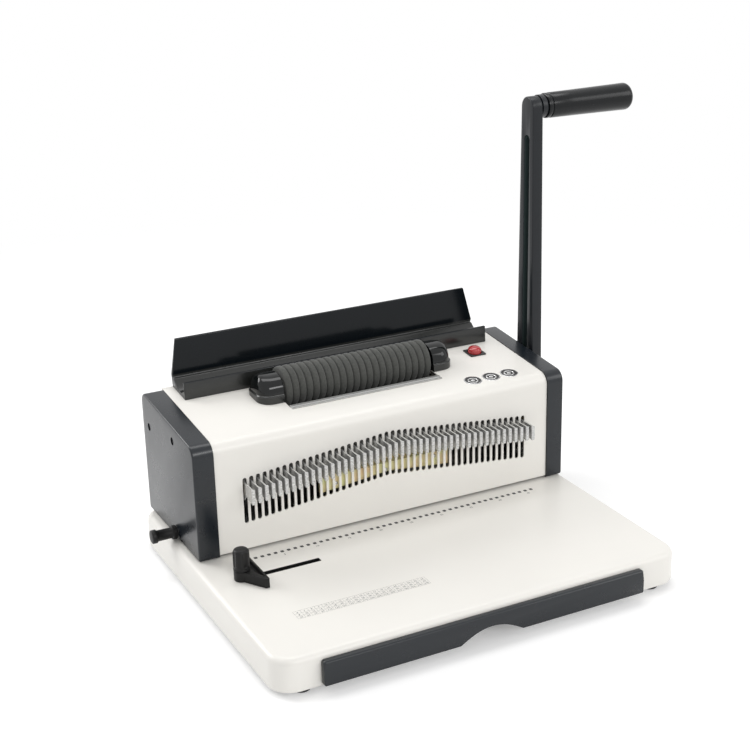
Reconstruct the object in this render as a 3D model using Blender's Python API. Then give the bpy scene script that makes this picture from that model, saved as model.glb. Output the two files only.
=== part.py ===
"""Coil binding machine: a lever punch with a powered coil inserting roller.

Lengths are in metres and +Z is up.  The driving sizes below use the machine's own
frame: X runs from the left cover's outer face to the right, Y from the front face of
the head to the rear, and Z up from the top of the base.  The last step moves the
whole machine so that its origin is at the bottom centre of its bounding box.
"""
import math

import bmesh
import bpy
from mathutils import Matrix, Vector

# Clearances and common finishes
SEAT_GAP = 0.0003
OVERRUN = 0.002
EDGE_ROUND = 0.0008
SMOOTH_ANGLE = math.radians(35)

# Base: a moulded shell with a steel plate under it and four rubber feet
BASE_LEFT_MARGIN = 0.0085
BASE_RIGHT_MARGIN = 0.0017
BASE_REACH = 0.187
BASE_HEIGHT = 0.029
BASE_CORNER = 0.020
BASE_TOP_ROUND = 0.006
BASE_WALL = 0.0025
BASE_PLATE_THICKNESS = 0.0015
BASE_PLATE_LIFT = 0.0005
FOOT_RADIUS = 0.008
FOOT_HEIGHT = 0.0056
FOOT_TAPER = 0.0012
FOOT_INSET_X = 0.0252
FOOT_INSET_Y = 0.012

# Head: two hollow end covers, a folded sheet between them and a rear panel
HEAD_WIDTH = 0.3773
HEAD_DEPTH = 0.1315
HEAD_FRONT_HEIGHT = 0.10775
HEAD_REAR_HEIGHT = 0.1191
LEFT_COVER_THICKNESS = 0.0193
RIGHT_COVER_THICKNESS = 0.0175
COVER_WALL = 0.0025
COVER_FRONT_ROUND = 0.011
COVER_REAR_ROUND = 0.009
COVER_FOOT_ROUND = 0.003
FRAME_THICKNESS = 0.005
SHEET_THICKNESS = 0.002
SHEET_SETBACK = 0.0016
SHEET_DROP = 0.0012
SHEET_BEND = 0.010
THROAT_HEIGHT = 0.0025
REAR_PANEL_THICKNESS = 0.002
REAR_PANEL_SETBACK = 0.002
VENT_COUNT = 7
VENT_WIDTH = 0.003
VENT_LENGTH = 0.026
VENT_PITCH = 0.009
VENT_BOTTOM = 0.060
VENT_RIGHT_INSET = 0.120

# Punch row: pins at the 4:1 coil pitch, raised towards the middle of the row
PIN_PITCH = 0.00635
FIRST_PIN_X = 0.04685
PIN_END_MARGIN = 0.0265
PIN_ROW_Y = 0.020
PIN_RADIUS = 0.0020
PIN_SIDES = 6
ROW_RISE = 0.0146
SLOT_WIDTH = 0.0036
SLOT_BOTTOM = 0.0271
SLOT_TOP = 0.0708
TAB_THICKNESS = 0.0026
TAB_TOP_GAP = 0.0044
TAB_BACK_HEIGHT = 0.0179
TAB_TIP_HEIGHT = 0.0147
TAB_REACH = 0.0140
TAB_CORNER = 0.0016
TAB_RAIL_THICKNESS = 0.0022
TAB_RAIL_MARGIN = 0.0040
PIN_TIP_LIFT = 0.0007
BAR_FRONT_Y = 0.015
BAR_DEPTH = 0.012
BAR_BOTTOM = 0.0535
BAR_HEIGHT = 0.014
BAR_END_INSET = 0.005

# Die set under and over the paper
DIE_FRONT_Y = 0.012
DIE_DEPTH = 0.018
DIE_THICKNESS = 0.008
DIE_END_INSET = 0.005
GUIDE_TOP = 0.022

# Lever, shaft and the two pinions that drive the racks down
PIVOT_Y = 0.076
PIVOT_Z = 0.058
SHAFT_RADIUS = 0.007
SHAFT_LEFT_PROUD = 0.0015
LEVER_SWING = math.radians(90)
GEAR_MODULE = 0.00125
GEAR_TEETH = 20
GEAR_WIDTH = 0.008
PRESSURE_ANGLE = math.radians(20)
TOOTH_THINNING = 0.00015
TOOTH_TIP_GAP_SHARE = 0.25
RACK_BELOW = 0.006
RACK_ABOVE = 0.026
RACK_BACK = 0.0120
BUSH_RADIUS = 0.0105
BUSH_FLANGE_RADIUS = 0.0135
BUSH_FLANGE = 0.0020
PILLAR_INSET = 0.033
PILLAR_Y = 0.040
PILLAR_RADIUS = 0.004
PILLAR_TOP = 0.078
PILLAR_FOOT_RADIUS = 0.009
PILLAR_FOOT_HEIGHT = 0.004
BOSS_RADIUS = 0.008
SPRING_RADIUS = 0.0068
SPRING_WIRE = 0.0016
SPRING_TURNS = 6
SPRING_STEPS = 8

# Lever arm and its turning grip
ARM_COVER_GAP = 0.0037
ARM_THICKNESS = 0.0113
ARM_FOOT_RADIUS = 0.0150
ARM_TOP_RADIUS = 0.0103
ARM_TOP_Z = 0.3485
ARM_WALL = 0.0046
ARM_GROOVE_DEPTH = 0.0075
ARM_GROOVE_TOP_Z = 0.318
ARM_GROOVE_FOOT_Z = 0.092
ARM_EDGE = 0.0012
HUB_BOLT_RADIUS = 0.009
HUB_BOLT_HEAD = 0.005
SPINDLE_RADIUS = 0.004
SPINDLE_COLLAR_RADIUS = 0.0112
SPINDLE_COLLAR = 0.0062
GRIP_ROOT_RADIUS = 0.0119
GRIP_END_RADIUS = 0.01305
GRIP_LENGTH = 0.0975
GRIP_END_ROUND = 0.008
GRIP_RING_DEPTH = 0.0008
GRIP_RING_WIDTH = 0.0016
GRIP_END_WALL = 0.010
GRIP_VENT_RADIUS = 0.001

# Coil roller with its end caps, cradle, guard strip and belt drive
ROLLER_REAR_INSET = 0.0585
ROLLER_LIFT = 0.00615
ROLLER_RADIUS = 0.0194
ROLLER_LEFT_X = 0.1125
ROLLER_SWITCH_SPACE = 0.0264
ROLLER_END_GAP = 0.0022
ROLLER_RIDGES = 22
RIDGE_GROOVE = 0.0011
RIDGE_SLOPE_SHARE = 0.14
CORE_RADIUS = 0.012
AXLE_RADIUS = 0.004
OPENING_FRONT_REACH = 0.0302
OPENING_REAR_REACH = 0.0195
CAP_LENGTH = 0.0233
CAP_SKIRT_HALF = 0.0195
CAP_SKIRT_HEIGHT = 0.0022
CAP_SKIRT_STEP = 0.0034
CAP_RADIUS = 0.0155
CAP_END_ROUND = 0.009
CAP_WALL = 0.0026
CAP_CORNER_SHARE = 0.9
CAP_LEDGE_SHARE = 0.8
CAP_DOME_SHARES = (0.25, 0.5, 0.72, 0.9)
CRADLE_GAP = 0.0023
CRADLE_SHEET = 0.0015
CRADLE_FLANGE = 0.006
STRIP_WIDTH = 0.0093
STRIP_THICKNESS = 0.0012
STRIP_LIP = 0.0024
PULLEY_RADIUS = 0.007
PULLEY_WIDTH = 0.006
PULLEY_RIM = 0.0016
PULLEY_INSET = 0.0105
BELT_THICKNESS = 0.0012
BELT_WIDTH = 0.0046
BELT_ROOM = 0.0018
MOTOR_BEHIND_ROLLER = 0.023
MOTOR_UNDER_ROLLER = 0.037
MOTOR_RADIUS = 0.0150
MOTOR_LENGTH = 0.062
MOTOR_GEARBOX = 0.020
MOTOR_GEARBOX_RADIUS = 0.0158
MOTOR_TAIL_RADIUS = 0.008
MOTOR_TAIL = 0.004
MOTOR_AXLE_RADIUS = 0.0025
BRACKET_THICKNESS = 0.0025
BRACKET_HALF_HEIGHT = 0.0145
BRACKET_REACH = 0.0135

# Coil trough on the rear of the head
TROUGH_LEFT_X = 0.030
TROUGH_RIGHT_INSET = 0.0121
TROUGH_REAR_INSET = 0.036
TROUGH_LIP_HEIGHT = 0.0165
TROUGH_LIP_THICKNESS = 0.0026
TROUGH_LEAN = 0.0008
TROUGH_FLOOR_WIDTH = 0.006
TROUGH_FLOOR_REACH = 0.0105
TROUGH_FLOOR_THICKNESS = 0.0026
TROUGH_STEP_REACH = 0.0270
TROUGH_STEP_RISE = 0.0085
TROUGH_LEDGE = 0.0032
TROUGH_LEDGE_RISE = 0.0030
TROUGH_PLATE_LEAN = 0.0038
TROUGH_PLATE_RISE = 0.0435
TROUGH_PLATE_THICKNESS = 0.0030
TROUGH_END_SLANT = 0.0060

# Push switch on the head's top
SWITCH_RIGHT_INSET = 0.0363
SWITCH_TROUGH_SPACE = 0.0190
BEZEL_HALF = 0.0086
BEZEL_LIP = 0.0013
SWITCH_BODY_HALF = 0.0079
SWITCH_BODY_DEPTH = 0.020
BUTTON_RADIUS = 0.0067
BUTTON_STAND = 0.0060
BUTTON_DOME = 0.0035
BUTTON_SKIRT = 0.0060
BUTTON_TRAVEL = 0.0025
BUTTON_DOME_SHARES = (0.35, 0.65, 0.9)

# Side guide in its slot
GUIDE_X = 0.022
GUIDE_Y = -0.0445
GUIDE_SLOT_WIDTH = 0.0055
GUIDE_SLOT_RIGHT_X = 0.0953
GUIDE_SLOT_LEFT_MARGIN = 0.0040
GUIDE_BOSS_RADIUS = 0.0072
FENCE_X = 0.0365
FENCE_THICKNESS = 0.0035
FENCE_REAR_Y = -0.0243
FENCE_FRONT_Y = -0.0708
GUIDE_HEIGHT = 0.0090
GUIDE_DISH = 0.0025
GUIDE_RIM = 0.0026
KNOB_RADIUS = 0.0073
KNOB_HEIGHT = 0.0200
KNOB_DOME = 0.0060
KNOB_DOME_SHARES = (0.4, 0.7, 0.9)
KNOB_FLUTES = 8
KNOB_FLUTE_DEPTH = 0.0006
STUD_RADIUS = 0.0022
NUT_HALF = 0.0065
NUT_THICKNESS = 0.0030

# Margin depth adjuster and the paper back stop
DEPTH_SPRING_SPACE = 0.0059
DEPTH_Z = 0.0072
DEPTH_MODULE = 0.0010
DEPTH_TEETH = 8
DEPTH_GEAR_X = 0.048
DEPTH_GEAR_WIDTH = 0.008
DEPTH_PRESSURE_ANGLE = math.radians(25)
RACK_ADDENDUM_SHARE = 0.45
GEAR_ADDENDUM_SHARE = 0.80
DEPTH_SHAFT_RADIUS = 0.0025
DEPTH_SHAFT_TAIL = 0.003
DEPTH_KNOB_GAP = 0.0010
DEPTH_FLANGE = 0.0045
DEPTH_FLANGE_RADIUS = 0.0065
DEPTH_WAIST_RADIUS = 0.0034
DEPTH_WAIST = 0.0140
DEPTH_END = 0.0050
DEPTH_END_RADIUS = 0.0061
STOP_LEFT_SPACE = 0.0040
STOP_RIGHT_SPACE = 0.0013
STOP_FRONT_Y = 0.026
STOP_DEPTH = 0.016
STOP_TOP = 0.0022
STOP_RACK_REACH = 0.014

# Chip drawer
DRAWER_LEFT_X = 0.0290
DRAWER_RIGHT_INSET = 0.0515
DRAWER_FACE_THICKNESS = 0.0057
DRAWER_TOP_DROP = 0.0055
DRAWER_BOTTOM_LIFT = 0.0018
DRAWER_FACE_CORNER = 0.0015
TRAY_SIDE_INSET = 0.007
TRAY_WALL = 0.0018
TRAY_PIN_CLEARANCE = 0.0008
TRAY_REAR_Y = 0.045
ARCH_WIDTH = 0.060
ARCH_FLAT = 0.026
ARCH_HEIGHT = 0.0108
ARCH_STEPS = 5
FINGER_DEPTH = 0.027

# Screws of the end covers
SCREW_HEAD_RADIUS = 0.0029
SCREW_HEAD = 0.0022
SCREW_RECESS = 0.0009
SCREW_SHANK_RADIUS = 0.0015
SCREW_REAR_INSET = 0.0174
SCREW_REAR_Z = 0.0883
SCREW_FRONT_Y = 0.0508
SCREW_FRONT_Z = 0.0974

# Power inlet in the rear panel
INLET_X = 0.070
INLET_Z = 0.034
INLET_HALF_WIDTH = 0.0135
INLET_HALF_HEIGHT = 0.0105
INLET_FLANGE = 0.0022
INLET_FLANGE_BORDER = 0.0035
INLET_BODY = 0.020
INLET_WALL = 0.0022
INLET_DEPTH = 0.014

# Sizes that follow from the driving ones
BASE_LEFT_X = -BASE_LEFT_MARGIN
BASE_RIGHT_X = HEAD_WIDTH + BASE_RIGHT_MARGIN
BASE_FRONT_Y = -BASE_REACH
BASE_REAR_Y = HEAD_DEPTH
BASE_BOTTOM_Z = -BASE_HEIGHT
PLATE_BOTTOM_Z = BASE_BOTTOM_Z + BASE_PLATE_LIFT
PLATE_TOP_Z = PLATE_BOTTOM_Z + BASE_PLATE_THICKNESS
FOOT_TOP_Z = PLATE_BOTTOM_Z - SEAT_GAP
FOOT_BOTTOM_Z = FOOT_TOP_Z - FOOT_HEIGHT
HEAD_SLOPE = (HEAD_REAR_HEIGHT - HEAD_FRONT_HEIGHT) / HEAD_DEPTH
HEAD_TILT = math.atan(HEAD_SLOPE)
LEFT_FRAME_IN_X = LEFT_COVER_THICKNESS - SEAT_GAP
LEFT_FRAME_OUT_X = LEFT_FRAME_IN_X - FRAME_THICKNESS
RIGHT_COVER_X = HEAD_WIDTH - RIGHT_COVER_THICKNESS
RIGHT_FRAME_IN_X = RIGHT_COVER_X + SEAT_GAP
RIGHT_FRAME_OUT_X = RIGHT_FRAME_IN_X + FRAME_THICKNESS
INSIDE_LEFT_X = LEFT_FRAME_IN_X + SEAT_GAP
INSIDE_RIGHT_X = RIGHT_FRAME_IN_X - SEAT_GAP
SHEET_LEFT_X = LEFT_COVER_THICKNESS + SEAT_GAP
SHEET_RIGHT_X = RIGHT_COVER_X - SEAT_GAP
SHEET_FRONT_Y = SHEET_SETBACK
PIN_COUNT = int((SHEET_RIGHT_X - PIN_END_MARGIN - FIRST_PIN_X) / PIN_PITCH) + 1
PANEL_REAR_Y = HEAD_DEPTH - REAR_PANEL_SETBACK
PANEL_FRONT_Y = PANEL_REAR_Y - REAR_PANEL_THICKNESS
SHEET_REAR_Y = PANEL_FRONT_Y - SEAT_GAP
PITCH_RADIUS = GEAR_MODULE * GEAR_TEETH / 2
RACK_PITCH_Y = PIVOT_Y - PITCH_RADIUS
PUNCH_STROKE = PITCH_RADIUS * LEVER_SWING
PIN_LOWEST_Z = THROAT_HEIGHT + PIN_TIP_LIFT - PUNCH_STROKE
TAB_RAIL_REAR_Y = BAR_FRONT_Y - SEAT_GAP
TAB_RAIL_FRONT_Y = TAB_RAIL_REAR_Y - TAB_RAIL_THICKNESS
BAR_REAR_Y = BAR_FRONT_Y + BAR_DEPTH
BAR_TOP = BAR_BOTTOM + BAR_HEIGHT
PILLAR_XS = (PILLAR_INSET, HEAD_WIDTH - PILLAR_INSET)
ARM_IN_X = HEAD_WIDTH + ARM_COVER_GAP
ARM_OUT_X = ARM_IN_X + ARM_THICKNESS
COLLAR_OUT_X = ARM_OUT_X + SEAT_GAP + SPINDLE_COLLAR
GRIP_ROOT_X = COLLAR_OUT_X + SEAT_GAP
GRIP_END_X = GRIP_ROOT_X + GRIP_LENGTH
TROUGH_FRONT_Y = HEAD_DEPTH - TROUGH_REAR_INSET
TROUGH_FLOOR_Y = TROUGH_FRONT_Y + TROUGH_FLOOR_REACH
TROUGH_STEP_Y = TROUGH_FRONT_Y + TROUGH_STEP_REACH
TROUGH_STEP_Z = HEAD_REAR_HEIGHT + TROUGH_STEP_RISE
TROUGH_PLATE_TOP_Z = HEAD_REAR_HEIGHT + TROUGH_PLATE_RISE
TROUGH_RIGHT_X = RIGHT_COVER_X - TROUGH_RIGHT_INSET
SWITCH_X = RIGHT_COVER_X - SWITCH_RIGHT_INSET
SWITCH_Y = TROUGH_FRONT_Y - SWITCH_TROUGH_SPACE
OPENING_RIGHT_X = SWITCH_X - BEZEL_HALF - ROLLER_SWITCH_SPACE - CAP_LENGTH
OPENING_LEFT_X = ROLLER_LEFT_X - ROLLER_END_GAP
ROLLER_RIGHT_X = OPENING_RIGHT_X - ROLLER_END_GAP
ROLLER_LENGTH = ROLLER_RIGHT_X - ROLLER_LEFT_X
ROLLER_Y = HEAD_DEPTH - ROLLER_REAR_INSET
ROLLER_Z = HEAD_FRONT_HEIGHT - SHEET_DROP + HEAD_SLOPE * ROLLER_Y + ROLLER_LIFT
OPENING_FRONT_Y = ROLLER_Y - OPENING_FRONT_REACH
OPENING_REAR_Y = ROLLER_Y + OPENING_REAR_REACH
MOTOR_Y = ROLLER_Y + MOTOR_BEHIND_ROLLER
MOTOR_Z = ROLLER_Z - MOTOR_UNDER_ROLLER
SCREW_REAR_Y = HEAD_DEPTH - SCREW_REAR_INSET
STOP_LEFT_X = PILLAR_XS[0] + PILLAR_FOOT_RADIUS + STOP_LEFT_SPACE
STOP_RIGHT_X = PILLAR_XS[1] - PILLAR_FOOT_RADIUS - STOP_RIGHT_SPACE
PULLEY_X = OPENING_LEFT_X - PULLEY_INSET
DEPTH_Y = PILLAR_Y + SPRING_RADIUS + SPRING_WIRE / 2 + DEPTH_SHAFT_RADIUS + DEPTH_SPRING_SPACE
DEPTH_PITCH_RADIUS = DEPTH_MODULE * DEPTH_TEETH / 2
DEPTH_KNOB_X = -DEPTH_KNOB_GAP
DEPTH_END_X = DEPTH_KNOB_X - DEPTH_FLANGE - DEPTH_WAIST - DEPTH_END
DRAWER_RIGHT_X = BASE_RIGHT_X - DRAWER_RIGHT_INSET
DRAWER_TOP_Z = -DRAWER_TOP_DROP
DRAWER_BOTTOM_Z = BASE_BOTTOM_Z + DRAWER_BOTTOM_LIFT
DRAWER_FACE_REAR_Y = BASE_FRONT_Y - SEAT_GAP
DRAWER_FACE_FRONT_Y = DRAWER_FACE_REAR_Y - DRAWER_FACE_THICKNESS
DRAWER_CENTRE_X = (DRAWER_LEFT_X + DRAWER_RIGHT_X) / 2
TRAY_BOTTOM_Z = PLATE_TOP_Z + SEAT_GAP
TRAY_TOP_Z = PIN_LOWEST_Z - TRAY_PIN_CLEARANCE
TRAY_LEFT_X = DRAWER_LEFT_X + TRAY_SIDE_INSET
TRAY_RIGHT_X = DRAWER_RIGHT_X - TRAY_SIDE_INSET
TRAY_FRONT_Y = DRAWER_FACE_REAR_Y + SEAT_GAP
INLET_REAR_Y = PANEL_REAR_Y + SEAT_GAP + INLET_FLANGE
ORIGIN_X = (DEPTH_END_X + GRIP_END_X) / 2
ORIGIN_Y = (DRAWER_FACE_FRONT_Y + max(HEAD_DEPTH, INLET_REAR_Y)) / 2
ORIGIN = Vector((ORIGIN_X, ORIGIN_Y, FOOT_BOTTOM_Z))

PLANES = {"X": "YZX", "Y": "XZY", "Z": "XYZ"}


def clear_scene():
    """Start from an empty scene."""
    for item in list(bpy.data.objects):
        bpy.data.objects.remove(item, do_unlink=True)


def finish(name, colour, roughness, metallic=0.0):
    """One Principled material."""
    made = bpy.data.materials.new(name)
    made.use_nodes = True
    shader = made.node_tree.nodes["Principled BSDF"]
    shader.inputs["Base Color"].default_value = (*colour, 1.0)
    shader.inputs["Roughness"].default_value = roughness
    shader.inputs["Metallic"].default_value = metallic
    return made


# Outlines

def arc(centre, radius, start, end, steps):
    """Points along an arc, both ends included; angles in radians."""
    points = []
    for index in range(steps + 1):
        angle = start + (end - start) * index / steps
        points.append((centre[0] + radius * math.cos(angle), centre[1] + radius * math.sin(angle)))
    return points


def circle(centre, radius, sides):
    """A closed round outline."""
    return arc(centre, radius, 0.0, math.tau * (sides - 1) / sides, sides - 1)


def rectangle(left, bottom, right, top):
    """Four corners, anticlockwise."""
    return [(left, bottom), (right, bottom), (right, top), (left, top)]


def rounded(points, radii, steps=4):
    """Round each corner of a closed outline with its own radius."""
    outline = []
    count = len(points)
    for index, point in enumerate(points):
        corner = Vector(point)
        before = (Vector(points[index - 1]) - corner).normalized()
        after = (Vector(points[(index + 1) % count]) - corner).normalized()
        radius = radii[index]
        if radius <= 0.0:
            outline.append(tuple(corner))
            continue
        half = before.angle(after) / 2
        middle = corner + (before + after).normalized() * radius / math.sin(half)
        start = corner + before * radius / math.tan(half) - middle
        end = corner + after * radius / math.tan(half) - middle
        turn = start.angle_signed(end)
        for step in range(steps + 1):
            angle = -turn * step / steps
            offset = Matrix.Rotation(angle, 2) @ start
            outline.append(tuple(middle + offset))
    return outline


def strap(first, first_radius, second, second_radius, steps):
    """Outline of a strap pulled round two circles."""
    gap = Vector(second) - Vector(first)
    along = math.atan2(gap.y, gap.x)
    spread = math.acos((first_radius - second_radius) / gap.length)
    tail = arc(first, first_radius, along + spread, along + math.tau - spread, steps)
    nose = arc(second, second_radius, along - spread, along + spread, steps)
    return tail + nose


def hull(points):
    """Convex outline round a set of points."""
    ordered = sorted(points)
    chains = []
    for sequence in (ordered, ordered[::-1]):
        chain = []
        for point in sequence:
            while len(chain) > 1 and turn_of(chain[-2], chain[-1], point) <= 0.0:
                chain.pop()
            chain.append(point)
        chains.extend(chain[:-1])
    return chains


def turn_of(first, second, third):
    """Positive where three points turn left."""
    ahead = (second[0] - first[0], second[1] - first[1])
    beyond = (third[0] - first[0], third[1] - first[1])
    return ahead[0] * beyond[1] - ahead[1] * beyond[0]


def involute(angle):
    """The involute function."""
    return math.tan(angle) - angle


def gear_outline(module, teeth, pressure, addendum, dedendum, heading, centre):
    """Spur gear outline with one tooth pointing along the heading."""
    pitch = module * teeth / 2
    base = pitch * math.cos(pressure)
    radii = (pitch - dedendum, pitch, pitch + addendum)
    half_pitch = math.pi / (2 * teeth) - TOOTH_THINNING / pitch
    halves = []
    for radius in radii:
        slope = math.acos(min(1.0, base / max(radius, base)))
        halves.append(half_pitch + involute(pressure) - involute(slope))
    outline = []
    for tooth in range(teeth):
        middle = heading + math.tau * tooth / teeth
        for radius, half in zip(radii, halves):
            outline.append(polar(centre, radius, middle - half))
        for radius, half in zip(radii[::-1], halves[::-1]):
            outline.append(polar(centre, radius, middle + half))
    return outline


def polar(centre, radius, angle):
    """A point at an angle on a circle."""
    return (centre[0] + radius * math.cos(angle), centre[1] + radius * math.sin(angle))


def rack_teeth(module, pressure, addendum, dedendum, low, high, space_at):
    """Rack profile as (along, height over the pitch line), with a space centred at space_at."""
    pitch = math.pi * module
    half = pitch / 4 - TOOTH_THINNING
    tip = half - addendum * math.tan(pressure)
    root = half + dedendum * math.tan(pressure)
    first = math.ceil((low + root - space_at) / pitch - 0.5)
    last = math.floor((high - root - space_at) / pitch - 0.5)
    profile = [(low, -dedendum)]
    for index in range(first, last + 1):
        middle = space_at + (index + 0.5) * pitch
        profile.append((middle - root, -dedendum))
        profile.append((middle - tip, addendum))
        profile.append((middle + tip, addendum))
        profile.append((middle + root, -dedendum))
    profile.append((high, -dedendum))
    return profile


# Solids

def plane_of(axis):
    """Places of the two directions across an axis, and of the axis itself."""
    return ["XYZ".index(letter) for letter in PLANES[axis]]


def add_prism(bm, outline, axis, low, high):
    """Extrude a closed outline along an axis."""
    first, second, third = plane_of(axis)
    rings = []
    for level in (low, high):
        ring = []
        for point in outline:
            place = [0.0, 0.0, 0.0]
            place[first] = point[0]
            place[second] = point[1]
            place[third] = level
            ring.append(bm.verts.new(place))
        rings.append(ring)
    bm.faces.new(rings[0][::-1])
    bm.faces.new(rings[1])
    bridge(bm, rings[0], rings[1])


def add_box(bm, low, high):
    """A box between two corners."""
    add_prism(bm, rectangle(low[0], low[1], high[0], high[1]), "Z", low[2], high[2])


def bridge(bm, first, second):
    """Quads between two rings of equal length."""
    count = len(first)
    for index in range(count):
        after = (index + 1) % count
        bm.faces.new((first[index], first[after], second[after], second[index]))


def add_loft(bm, rings):
    """Skin a stack of rings and close both ends."""
    placed = []
    for ring in rings:
        placed.append([bm.verts.new(point) for point in ring])
    for first, second in zip(placed, placed[1:]):
        bridge(bm, first, second)
    bm.faces.new(placed[0][::-1])
    bm.faces.new(placed[-1])


def add_turned(bm, profile, axis, centre, sides, hollow=False):
    """Turn a profile of (along, radius) round an axis; a hollow profile is a closed loop."""
    first, second, third = plane_of(axis)
    rings = []
    for along, radius in profile:
        ring = []
        for index in range(sides):
            angle = math.tau * index / sides
            place = [0.0, 0.0, 0.0]
            place[first] = centre[0] + radius * math.cos(angle)
            place[second] = centre[1] + radius * math.sin(angle)
            place[third] = along
            ring.append(bm.verts.new(place))
        rings.append(ring)
    for low, high in zip(rings, rings[1:]):
        bridge(bm, low, high)
    if hollow:
        bridge(bm, rings[-1], rings[0])
        return
    bm.faces.new(rings[0][::-1])
    bm.faces.new(rings[-1])


def make(name, bm, look, pivot=(0.0, 0.0, 0.0)):
    """Turn a bmesh into a named object with its origin at the pivot."""
    bmesh.ops.recalc_face_normals(bm, faces=bm.faces)
    bm.transform(Matrix.Translation(-Vector(pivot)))
    mesh = bpy.data.meshes.new(name)
    bm.to_mesh(mesh)
    bm.free()
    made = bpy.data.objects.new(name, mesh)
    bpy.context.collection.objects.link(made)
    made.location = pivot
    mesh.materials.append(look)
    mesh.shade_smooth()
    mesh.set_sharp_from_angle(angle=SMOOTH_ANGLE)
    return made


def helper(name, bm):
    """A cutter or a joining body that only a modifier uses."""
    bmesh.ops.recalc_face_normals(bm, faces=bm.faces)
    mesh = bpy.data.meshes.new(name)
    bm.to_mesh(mesh)
    bm.free()
    made = bpy.data.objects.new(name, mesh)
    bpy.context.collection.objects.link(made)
    made.hide_render = True
    made.display_type = "WIRE"
    return made


def combine(target, other, operation):
    """Join or cut with another body."""
    modifier = target.modifiers.new(operation.title(), "BOOLEAN")
    modifier.operation = operation
    modifier.solver = "EXACT"
    modifier.object = other


def round_edges(target, width, segments=2, angle=math.radians(50)):
    """Round the sharp edges of an object."""
    modifier = target.modifiers.new("Rounding", "BEVEL")
    modifier.width = width
    modifier.segments = segments
    modifier.limit_method = "ANGLE"
    modifier.angle_limit = angle


def prism(name, outline, axis, low, high, look, pivot=(0.0, 0.0, 0.0)):
    """One extruded piece."""
    bm = bmesh.new()
    add_prism(bm, outline, axis, low, high)
    return make(name, bm, look, pivot)


def turned(name, profile, axis, centre, sides, look, pivot=(0.0, 0.0, 0.0), hollow=False):
    """One turned piece."""
    bm = bmesh.new()
    add_turned(bm, profile, axis, centre, sides, hollow)
    return make(name, bm, look, pivot)


def cut_prism(target, name, outline, axis, low, high):
    """Cut an extruded outline out of a piece."""
    bm = bmesh.new()
    add_prism(bm, outline, axis, low, high)
    combine(target, helper(name, bm), "DIFFERENCE")


def sheet_top(y):
    """Height of the head's top sheet at a depth."""
    return HEAD_FRONT_HEIGHT - SHEET_DROP + HEAD_SLOPE * y


def pin_x(index):
    """Place of a pin along the row."""
    return FIRST_PIN_X + PIN_PITCH * index


def pin_rise(index):
    """How far the middle pins stand above the end ones."""
    middle = (PIN_COUNT - 1) / 2
    return ROW_RISE * (1.0 - abs(index - middle) / middle)


# Base

def build_base(looks):
    """Shell, bottom plate and feet."""
    outline = rounded(rectangle(BASE_LEFT_X, BASE_FRONT_Y, BASE_RIGHT_X, BASE_REAR_Y), [BASE_CORNER] * 4, 5)
    bm = bmesh.new()
    add_prism(bm, outline, "Z", BASE_BOTTOM_Z, 0.0)
    top = [edge for edge in bm.edges if all(vert.co.z > BASE_BOTTOM_Z / 2 for vert in edge.verts)]
    bmesh.ops.bevel(bm, geom=top, offset=BASE_TOP_ROUND, segments=3, profile=0.5, affect="EDGES")
    shell = make("base_shell", bm, looks["housing"])
    inner = [BASE_CORNER - BASE_WALL] * 4
    inside = rounded(rectangle(BASE_LEFT_X + BASE_WALL, BASE_FRONT_Y + BASE_WALL,
                               BASE_RIGHT_X - BASE_WALL, BASE_REAR_Y - BASE_WALL), inner, 5)
    cut_prism(shell, "base_hollow", inside, "Z", BASE_BOTTOM_Z - OVERRUN, -BASE_WALL)
    mouth = rectangle(TRAY_LEFT_X - SEAT_GAP, BASE_BOTTOM_Z - OVERRUN,
                      TRAY_RIGHT_X + SEAT_GAP, TRAY_TOP_Z + SEAT_GAP)
    cut_prism(shell, "drawer_mouth", mouth, "Y", BASE_FRONT_Y - OVERRUN, BASE_FRONT_Y + BASE_WALL + OVERRUN)
    slot_left = GUIDE_X - STUD_RADIUS - GUIDE_SLOT_LEFT_MARGIN
    half = GUIDE_SLOT_WIDTH / 2
    slot = rounded(rectangle(slot_left, GUIDE_Y - half, GUIDE_SLOT_RIGHT_X, GUIDE_Y + half),
                   [half - EDGE_ROUND] * 4, 2)
    cut_prism(shell, "guide_slot", slot, "Z", -BASE_WALL - OVERRUN, OVERRUN)
    die = rectangle(die_left() - SEAT_GAP, DIE_FRONT_Y - SEAT_GAP,
                    die_right() + SEAT_GAP, DIE_FRONT_Y + DIE_DEPTH + SEAT_GAP)
    cut_prism(shell, "die_window", die, "Z", -BASE_WALL - OVERRUN, OVERRUN)

    inset = BASE_WALL + SEAT_GAP
    plate_outline = rounded(rectangle(BASE_LEFT_X + inset, BASE_FRONT_Y + inset,
                                      BASE_RIGHT_X - inset, BASE_REAR_Y - inset),
                            [BASE_CORNER - inset] * 4, 4)
    plate = prism("base_plate", plate_outline, "Z", PLATE_BOTTOM_Z, PLATE_TOP_Z, looks["zinc"])
    notch = rectangle(DRAWER_CENTRE_X - ARCH_WIDTH / 2, BASE_FRONT_Y - OVERRUN,
                      DRAWER_CENTRE_X + ARCH_WIDTH / 2, BASE_FRONT_Y + FINGER_DEPTH)
    cut_prism(plate, "finger_notch", notch, "Z", PLATE_BOTTOM_Z - OVERRUN, PLATE_TOP_Z + OVERRUN)

    places = []
    for x in (BASE_LEFT_X + FOOT_INSET_X, BASE_RIGHT_X - FOOT_INSET_X):
        for y in (BASE_FRONT_Y + FOOT_INSET_Y, BASE_REAR_Y - FOOT_INSET_Y):
            places.append((x, y))
    for index, place in enumerate(places):
        profile = [(FOOT_BOTTOM_Z, FOOT_RADIUS - FOOT_TAPER),
                   (FOOT_BOTTOM_Z + FOOT_TAPER, FOOT_RADIUS),
                   (FOOT_TOP_Z, FOOT_RADIUS)]
        turned(f"foot_{index + 1}", profile, "Z", place, 16, looks["rubber"])


# Chip drawer

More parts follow.
